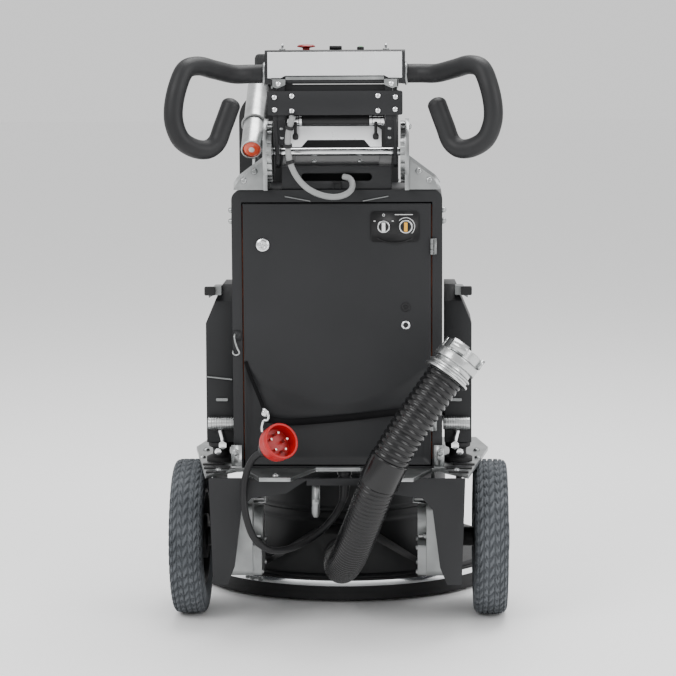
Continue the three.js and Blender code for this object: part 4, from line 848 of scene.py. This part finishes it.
# ---- Release bar: a black sleeve between two plated clamps, with rods down to the white
# sheet that lifts the pawls, both moved together to free the handle.
BAR = (0, -382, 1028)
add_piece("release_sleeve", spun([(0, -66), (12, -66), (12, 66), (0, 66)], BAR, OUTWARDS, 40,
                                 corner=1.5), "handle_release", nylon_black, "release_bar")
bar_clamp = [(0, 66.5), (12, 66.5), (12, 72), (11, 73), (11, 88), (12, 89), (12, 97), (0, 97)]
add_piece("release_clamps", joined(*[
    spun(bar_clamp, BAR, way, 40) for way in (INWARDS, OUTWARDS)
]), "handle_release", chrome)
bar_rod = [(0, 0), (3, 0), (3, 20), (4.6, 22), (6, 25), (6, 30), (4.6, 33), (0, 34)]
add_piece("release_rods", joined(*[
    spun(bar_rod, (x, -392.5, 1022), (0, 0, -1), 24) for x in (-79, 79)
]), "handle_release", nylon_black)
white_sheet = material_of("white_sheet_metal", "white_sheet", (0.68, 0.69, 0.70),
                          (0.76, 0.77, 0.78), 0.3, metallic=0.25, grain=500, bump=0.06)
eased("release_plate", "release_sheet", "handle_release", white_sheet, 0.7)

# ---- Console: folded black sheet box with a bright rear cover, on two light brackets under
# it. A silver edge strip closes the cover's notched lower side.
eased("console_shell", "console_box", "handle", black_paint, 1.6)
rounded(add_piece("console_cover", slab([
    (-131, 1160.5), (131, 1160.5), (131, 1110), (105, 1110), (97, 1114.5), (-97, 1114.5),
    (-105, 1110), (-131, 1110),
], "y", -427.4, -425.1), "handle", white_sheet), 0.8)
rounded(add_piece("cover_strip", slab(oblong(-96, 96, 1106.5, 1112.8), "y", -428.6, -425.1),
                  "handle", zinc, slot="chrome"), 0.8)
bracket_foot = [(96, 1108), (124, 1108), (124, 1094), (112, 1090), (96, 1097)]
pair("console_bracket_*", joined(
    slab(bracket_foot, "y", -431, -427.7, 2),
    slab(oblong(121, 124, 1090, 1108), "y", -431, -420),
), "handle", zinc, edge=0.6)
pair("bracket_bolt_*", bolts([(110, -431, 1099)], REARWARDS, 5.5, 4), "handle", chrome)

# ---- Grips: bent steel tube in a thick black rubber sleeve, leaving the console's ends,
# curving back and down and returning inwards, with rounded free ends.
grip_rubber = material_of("grip_rubber", "grip_rubber", (0.008, 0.008, 0.009),
                          (0.015, 0.0155, 0.0165), 0.5, grain=700, bump=0.15, blotch=10,
                          specular=0.3)
grip_line = np.array([
    (136.8, -397, 1118), (150.5, -397, 1118), (168, -399, 1118), (197, -413, 1118),
    (232, -447, 1127), (262, -485, 1135), (283, -511, 1128), (297, -526, 1095),
    (305, -531, 1053), (303, -531, 1023), (290, -528, 994), (265, -519, 978),
    (242, -507, 976), (226, -497, 988), (214, -491, 1018), (194, -483, 1072),
]) * MM
GRIP_R = 0.0185
GRIP_END = 0.014  # of the free end, rounded off as an ellipse
grip_path, grip_run = route(grip_line, 300)
past_end = np.clip((GRIP_END - grip_run[-1] + grip_run) / GRIP_END, 0, 1)
grip_reach = GRIP_R * np.sqrt(np.clip(1 - past_end**2, 0.02, 1))
grip_reach = np.where(grip_run < 0.004, GRIP_R - 0.0015, grip_reach)
pair("grip_sleeve_*", tube(grip_path, grip_reach, 32, (0.75, 0.66, 0)), "handle", grip_rubber,
     "grip_*")
pair("grip_collar_*", spun([(0, 0), (23, 0), (23, 3), (20, 5), (0, 5)], (136.6, -397, 1118),
                           OUTWARDS, 40), "handle", zinc)

# ---- Console controls: bat toggles in plated nuts, a red mushroom stop button, a knurled dial
# on a plain scale, and a flat start button with a green lens.
stop_red = material_of("stop_red", "red_plastic", (0.20, 0.004, 0.004), (0.27, 0.006, 0.006),
                       0.35, bump=0.04)
lens_green = material_of("lens_green", "satin_black", (0.02, 0.24, 0.06), (0.03, 0.34, 0.09), 0.2,
                         bump=0.02)
CONTROL_Y, PANEL_Z = -367, 1164
bat = [(0, -12), (3, -12), (3, 1), (2, 2), (2.9, 8), (3.2, 10), (2.2, 12), (0, 12.4)]
bat_nut = [(3.6, 0.1), (7, 0.1), (7, 2.4), (5.4, 3), (3.6, 3)]
for x, word in ((-105, "left"), (99, "right")):
    add_piece("bat_toggle_" + word, spun(bat, (x, CONTROL_Y, PANEL_Z), UPWARDS, 24),
              word + "_toggle", chrome, "toggle_" + word)
    add_piece("toggle_nut_" + word, spun(bat_nut, (x, CONTROL_Y, PANEL_Z), UPWARDS, 6, True,
                                         0.4), "handle", zinc)
add_piece("stop_mushroom", spun([
    (0, -12), (7, -12), (7, 4), (12, 5), (18, 6), (18, 8), (14, 10.4), (0, 11.4),
], (-58, CONTROL_Y, PANEL_Z), UPWARDS, 48), "stop", stop_red, "stop_button")


def fluted(rows, x, y, around, edge, depth, flutes):
    """Rows of (radius, height) in millimetres carried round an upright axis.

    Where the radius is past an edge, it swells and sinks by depth times the cosine of the
    flutes times the angle.
    """
    turn = np.linspace(0, 2 * np.pi, around, endpoint=False)
    reach = rows[:, :1] + np.where(rows[:, :1] > edge, depth * np.cos(flutes * turn), 0)
    return np.stack([x + reach * np.cos(turn), y + reach * np.sin(turn),
                     rows[:, 1:] + 0 * turn], -1) * MM


dial_rows = np.array([(0, -12), (7, -12), (7, 0.3), (12, 0.3), (12, 7), (11, 8), (0, 8)], float)
dial_grid = fluted(dial_rows + (0, PANEL_Z), 0, CONTROL_Y, 144, 11, 0.35, 24)
add_piece("knurled_dial", surface(dial_grid), "dial", nylon_black, "speed_dial")
add_piece("dial_mark", slab(oblong(-0.8, 0.8, -378, -370), "z", 1171.9, 1172.4), "dial",
          mark_white)
START = (49, CONTROL_Y, PANEL_Z)
add_piece("start_collar", spun([
    (0, -12), (6, -12), (6, 0.4), (7, 0.4), (7, 5), (6, 6), (4.6, 6), (4.6, 4.6), (0, 4.6),
], START, UPWARDS, 40), "start", nylon_black, "start_button")
add_piece("start_lens", spun([(0, 4.7), (4.5, 4.7), (4.5, 6.2), (3.5, 7), (0, 7.2)], START,
                             UPWARDS, 32), "start", lens_green)

# ---- Water tank: rotationally moulded black polyethylene with soft corners, strapped in front
# of the cabinet, and a fluted screw cap.
tank_plastic = material_of("tank_plastic", "satin_black", (0.009, 0.0095, 0.010),
                           (0.016, 0.0165, 0.0175), 0.5, grain=900, bump=0.3, blotch=5,
                           specular=0.3)
eased("tank", "moulded_tank", "chassis", tank_plastic, 9, 4)
cap_rows = softened([
    (29.3, 1088.3), (37, 1088.3), (39.4, 1090), (39.4, 1146), (37, 1152), (33, 1154.8),
    (20, 1154.8), (19, 1152.5), (0, 1152.5), (0, 1116.5), (29.3, 1116.5),
], 1.2)
add_piece("screw_cap", surface(fluted(cap_rows, -142, -42.5, 192, 36, 0.6, 32), along=True),
          "filler_cap", tank_plastic, "tank_cap")
tank_strap = [(-214, -108), (-214, 17), (122, 17), (122, -108), (120.2, -108), (120.2, 15.2),
              (-212.2, 15.2), (-212.2, -108)]
for level in (520, 860):
    add_piece("tank_band_%d" % level, slab(tank_strap, "z", level, level + 28), "chassis", zinc)

# ---- Signal lamp: a plated tube lamp on a post, tilted rearwards, with a red and white lens
# in its rear end and a thin grey lead looped round it.
LAMP_FOOT = np.array((-170, -329, 966.0))
LAMP_TILT = math.radians(30)
lamp_aim = np.array((0, math.cos(LAMP_TILT), math.sin(LAMP_TILT)))
silver_tube = material_of("brushed_tube", "chrome", (0.40, 0.41, 0.41), (0.56, 0.57, 0.57), 0.3,
                          metallic=1.0, grain=900, bump=0.15, blotch=30)
add_piece("lamp_barrel", joined(
    spun([(0, 9), (18, 9), (18, 1), (21.6, 1), (21.6, 240), (0, 240)], LAMP_FOOT, lamp_aim),
    slab(oblong(-176, -164, -232, -192), "z", 888.4, 1011),
), "chassis", silver_tube, "signal_lamp")
lens_red = material_of("lens_red", "red_plastic", (0.55, 0.045, 0.012), (0.75, 0.10, 0.04), 0.18,
                       bump=0.02, coat=0.4, blotch=40)
add_piece("lamp_lens", spun([(0, 8.5), (17.6, 8.5), (17.6, 4), (12, 1.5), (0, 0.6)], LAMP_FOOT,
                            lamp_aim, 48), "chassis", lens_red)
add_piece("lamp_lens_core", spun([(0, 4), (6, 4), (6, 0.8), (4, 0), (0, -0.4)], LAMP_FOOT,
                                 lamp_aim, 32), "chassis", mark_white)
LOOP_R = 24
loop_turn = np.radians(np.linspace(20, 200, 60))[:, None]
loop_path = (LAMP_FOOT + 95 * lamp_aim + LOOP_R * np.cos(loop_turn) * np.array((1.0, 0, 0))
             + LOOP_R * np.sin(loop_turn) * np.cross((1.0, 0, 0), lamp_aim)) * MM
add_piece("lamp_band", tube(loop_path, 0.0022, 14, lamp_aim), "chassis", cable_grey)

# ---- Side weights: solid steel blocks painted black, swung on a cross shaft, with plated
# latch brackets on their shoulders. Behind them are ribbed sleeves, link bolts and buffers.
eased("weight_*", "cast_weight_*", "*_weight", black_paint, 3.5, 3)
latch_bracket = [(236, 690), (252, 690), (262, 676), (262, 666), (252, 672), (236, 672)]
pair("weight_latch_*", joined(
    slab(latch_bracket, "y", -302, -262, 2),
    slab([(217, 497), (268, 503), (268, 505.5), (217, 500)], "y", -294, -289.5),
    slab(oblong(226, 250, 454, 460), "y", -294, -289.5, 2),
), "*_weight", edge_grey, edge=0.8)
pair("latch_knob_*", slab(oblong(248, 270, 672, 690), "y", -310, -301.5, 3), "*_weight",
     nylon_black, edge=1.5)
add_piece("weight_shaft", spun([(0, -261.5), (13.4, -261.5), (13.4, 261.5), (0, 261.5)],
                               (0, -180, 408), OUTWARDS, 48), "chassis", chrome, "weight_axle")
SLEEVE = (0, -300, 410)
pair("shaft_sleeve_*", joined(
    spun([(8, 212), (12.6, 212), (12.6, 266), (8, 266)], SLEEVE, OUTWARDS, 40, True),
    *[spun([(12.4, at), (14, at), (14, at + 2), (12.4, at + 2)], SLEEVE, OUTWARDS, 40, True, 0.3)
      for at in range(218, 262, 5)],
), "chassis", silver_tube, slot="zinc")
pair("link_bolts_*", joined(
    spun([(0, 0), (5, 0), (5, 24), (0, 24)], (236, -296, 372), (0.25, 0, 1), 20),
    spun([(0, 0), (9, 0), (9, 8), (0, 8)], (236, -304, 366), REARWARDS, 6),
    spun([(0, 0), (7, 0), (7, 6), (0, 6)], (246, -302, 352), REARWARDS, 24),
), "chassis", chrome)
pair("rubber_buffer_*", spun([
    (0, 328.4), (30, 328.4), (30, 336), (26, 338), (18, 341), (17, 348), (18, 355), (25, 358),
    (26, 361), (26, 367.6), (0, 367.6),
], (242.5, -268, 0), UPWARDS, 48), "chassis", seal_black, "buffer_*")


# ---- Carrying strap: a black webbing band looped from a wire ring on the cabinet's side to a
# plated hook low on the door, and on across the door's foot.
def band(line, width, thick, across):
    """A flat band along a line in millimetres: width runs along across, thickness square to it.

    Each row is an oblong whose sides follow across and the line's direction crossed with it.
    """
    path = route(line, 60)[0]
    ahead = np.gradient(path, axis=0)
    wide = np.array(across, float) - 0 * path
    wide -= ahead * (np.sum(wide * ahead, 1) / np.sum(ahead * ahead, 1))[:, None]
    wide = unit(wide)
    deep = unit(np.cross(ahead, wide))
    corners = [path + a * width / 2 * wide + b * thick / 2 * deep
               for a, b in ((-1, -1), (1, -1), (1, 1), (-1, 1))]
    return surface(np.stack(corners, 1) * MM, caps=True)


webbing = material_of("black_webbing", "black_cable", (0.003, 0.003, 0.0035),
                      (0.006, 0.006, 0.0065), 0.8, grain=1500, bump=0.35, specular=0.1)
ring_line = np.array([
    (-205, -361, 600), (-206, -364, 596), (-204, -366, 584), (-200, -367, 572),
    (-196, -367, 562), (-203, -366, 558), (-209, -364, 562), (-209, -361, 566),
]) * MM
add_piece("side_ring", tube(route(ring_line, 60)[0], 0.0017, 14, (0.3, 0.95, 0.1)), "chassis",
          zinc)
add_piece("ring_plate", slab(oblong(-209.5, -193, 586, 606), "y", -359.6, -357.1, 3), "chassis",
          black_paint)
add_piece("strap_diagonal", band([
    (-184, -363.4, 545), (-176, -363.6, 520), (-164, -363.4, 490), (-153, -363.2, 462),
    (-146, -364, 440),
], 7, 1.6, (1, 0, 0.4)), "cabinet_door", webbing)
add_piece("strap_across", band([
    (-142, -364.5, 428), (-100, -362, 422), (-40, -359, 425), (30, -357, 431),
    (100, -360.5, 440), (150, -363.4, 447),
], 14, 1.6, UPWARDS), "cabinet_door", webbing)
hook_line = np.array([
    (-150, -364, 448), (-148, -372, 450), (-142, -375, 446), (-138, -374, 436),
    (-141, -371, 427), (-148, -368, 426), (-152, -366, 414), (-152, -364, 402),
]) * MM
add_piece("door_hook", joined(
    tube(route(hook_line, 60)[0], 0.0028, 16, (0.6, 0.5, 0.62)),
    spun([(0, -1), (8, -1), (8, 4), (5, 6), (0, 6)], (-145, DOOR_REAR, 440), REARWARDS, 32),
), "cabinet_door", chrome)

# ---- Grinding head: spun and welded steel cover with pivot arms and a tall drum, painted
# black. The rubber skirt is held round it by a bright clamp band with a screw at the left.
HEAD_Y = 200
HEAD = (0, HEAD_Y, 0)
cover_ring = [(230.5, 52), (333.7, 52), (333.7, 30), (341.6, 30), (341.6, 55), (333.7, 60),
              (230.5, 60)]
head_arm = [(-130, 230), (-124, 244), (-110, 250), (-96, 244), (-50, 170), (20, 58), (-55, 58),
            (-90, 150)]
add_piece("cover_plate", joined(
    spun(cover_ring, HEAD, UPWARDS, 128, True, 2),
    *[slab(head_arm, "x", *ends, 4) for ends in ((-185, -173), (173, 185))],
), "head", black_paint, "head_cover")
add_piece("head_drum_shell", spun([
    (0, 140), (218, 140), (218, 52.3), (229.9, 52.3), (229.9, 150), (222, 156), (222, 170),
    (225, 172), (225, 180), (222, 182), (222, 236), (204, 254), (0, 254),
], HEAD, UPWARDS, 128, corner=3), "head", black_paint, "head_drum")
skirt_rubber = material_of("skirt_rubber", "skirt_rubber", (0.007, 0.007, 0.008),
                           (0.013, 0.013, 0.014), 0.55, grain=700, bump=0.15, specular=0.3)
add_piece("rubber_skirt", spun([
    (342, 5), (347.6, 5), (348, 9), (347.2, 20), (348, 32), (348, 52), (342, 52),
], HEAD, UPWARDS, 160, True), "head", skirt_rubber, "skirt")
add_piece("bright_band", spun([(348.2, 36), (350, 36), (350, 48), (348.2, 48)], HEAD, UPWARDS,
                              160, True, 0.5), "head", chrome, "clamp_band")
SCREW_TURN, BAND_R = math.radians(238), 350
screw = (BAND_R * math.cos(SCREW_TURN), HEAD_Y + BAND_R * math.sin(SCREW_TURN), 42)
screw_along = (-math.sin(SCREW_TURN), math.cos(SCREW_TURN), 0)
add_piece("band_clamp", joined(
    spun([(0, -26), (4, -26), (4, -20), (2.2, -19), (2.2, 18), (0, 18)], screw, screw_along, 20),
    *[spun([(0, at), (5, at), (5, at + 8), (0, at + 8)], screw, screw_along, 24)
      for at in (-14, 8)],
), "head", zinc)
fins = [point for foot in range(292, 470, 14)
        for point in ((110, foot), (104, foot + 2), (104, foot + 9), (110, foot + 11))]
motor = [(0, 254.4), (128, 254.4), (128, 268), (112, 274), (108, 284), *fins, (114, 474),
         (114, 484), (108, 508), (96, 518), (30, 518), (28, 512), (0, 512)]


def bolt_ring(radius, height, degrees, size, thick):
    """Bolts on a circle round the head's axis at one height, at the given angles."""
    turns = np.radians(degrees)
    places = [(radius * math.cos(turn), HEAD_Y + radius * math.sin(turn), height)
              for turn in turns]
    return bolts(places, UPWARDS, size, thick)


add_piece("finned_motor", joined(
    spun(motor, HEAD, UPWARDS, 96, corner=1.5),
    slab(oblong(-58, 58, 330, 440), "y", 280, 356, 8),
    bolt_ring(120, 268, np.arange(8) * 45 + 22.5, 6, 5),
), "head", drive_alloy, "head_motor")
eased("dust_outlet", "dust_hood", "head", tank_plastic, 2.5, 3)
cover_turns = np.arange(12) * 30 + 15
clear_of_hood = np.abs(cover_turns - 270) > 40
add_piece("head_bolts", bolt_ring(310, 60, cover_turns[clear_of_hood], 6, 4.5), "head", zinc)

# ---- Planet carrier and satellites: an aluminium disc inside the drum turns three plates,
# each with six diamond segments whose metal bond shows a coarse grit.
eased("planet_carrier", "carrier_disc", "carrier", drive_alloy, 1.5)
segment_bond = material_of("segment_bond", "cast_aluminium", (0.14, 0.13, 0.12),
                           (0.28, 0.26, 0.23), 0.7, metallic=0.5, grain=1800, bump=0.8, blotch=60)
for k in (1, 2, 3):
    eased("satellite_%d" % k, "planet_plate_%d" % k, "planet_%d" % k, segment_bond)
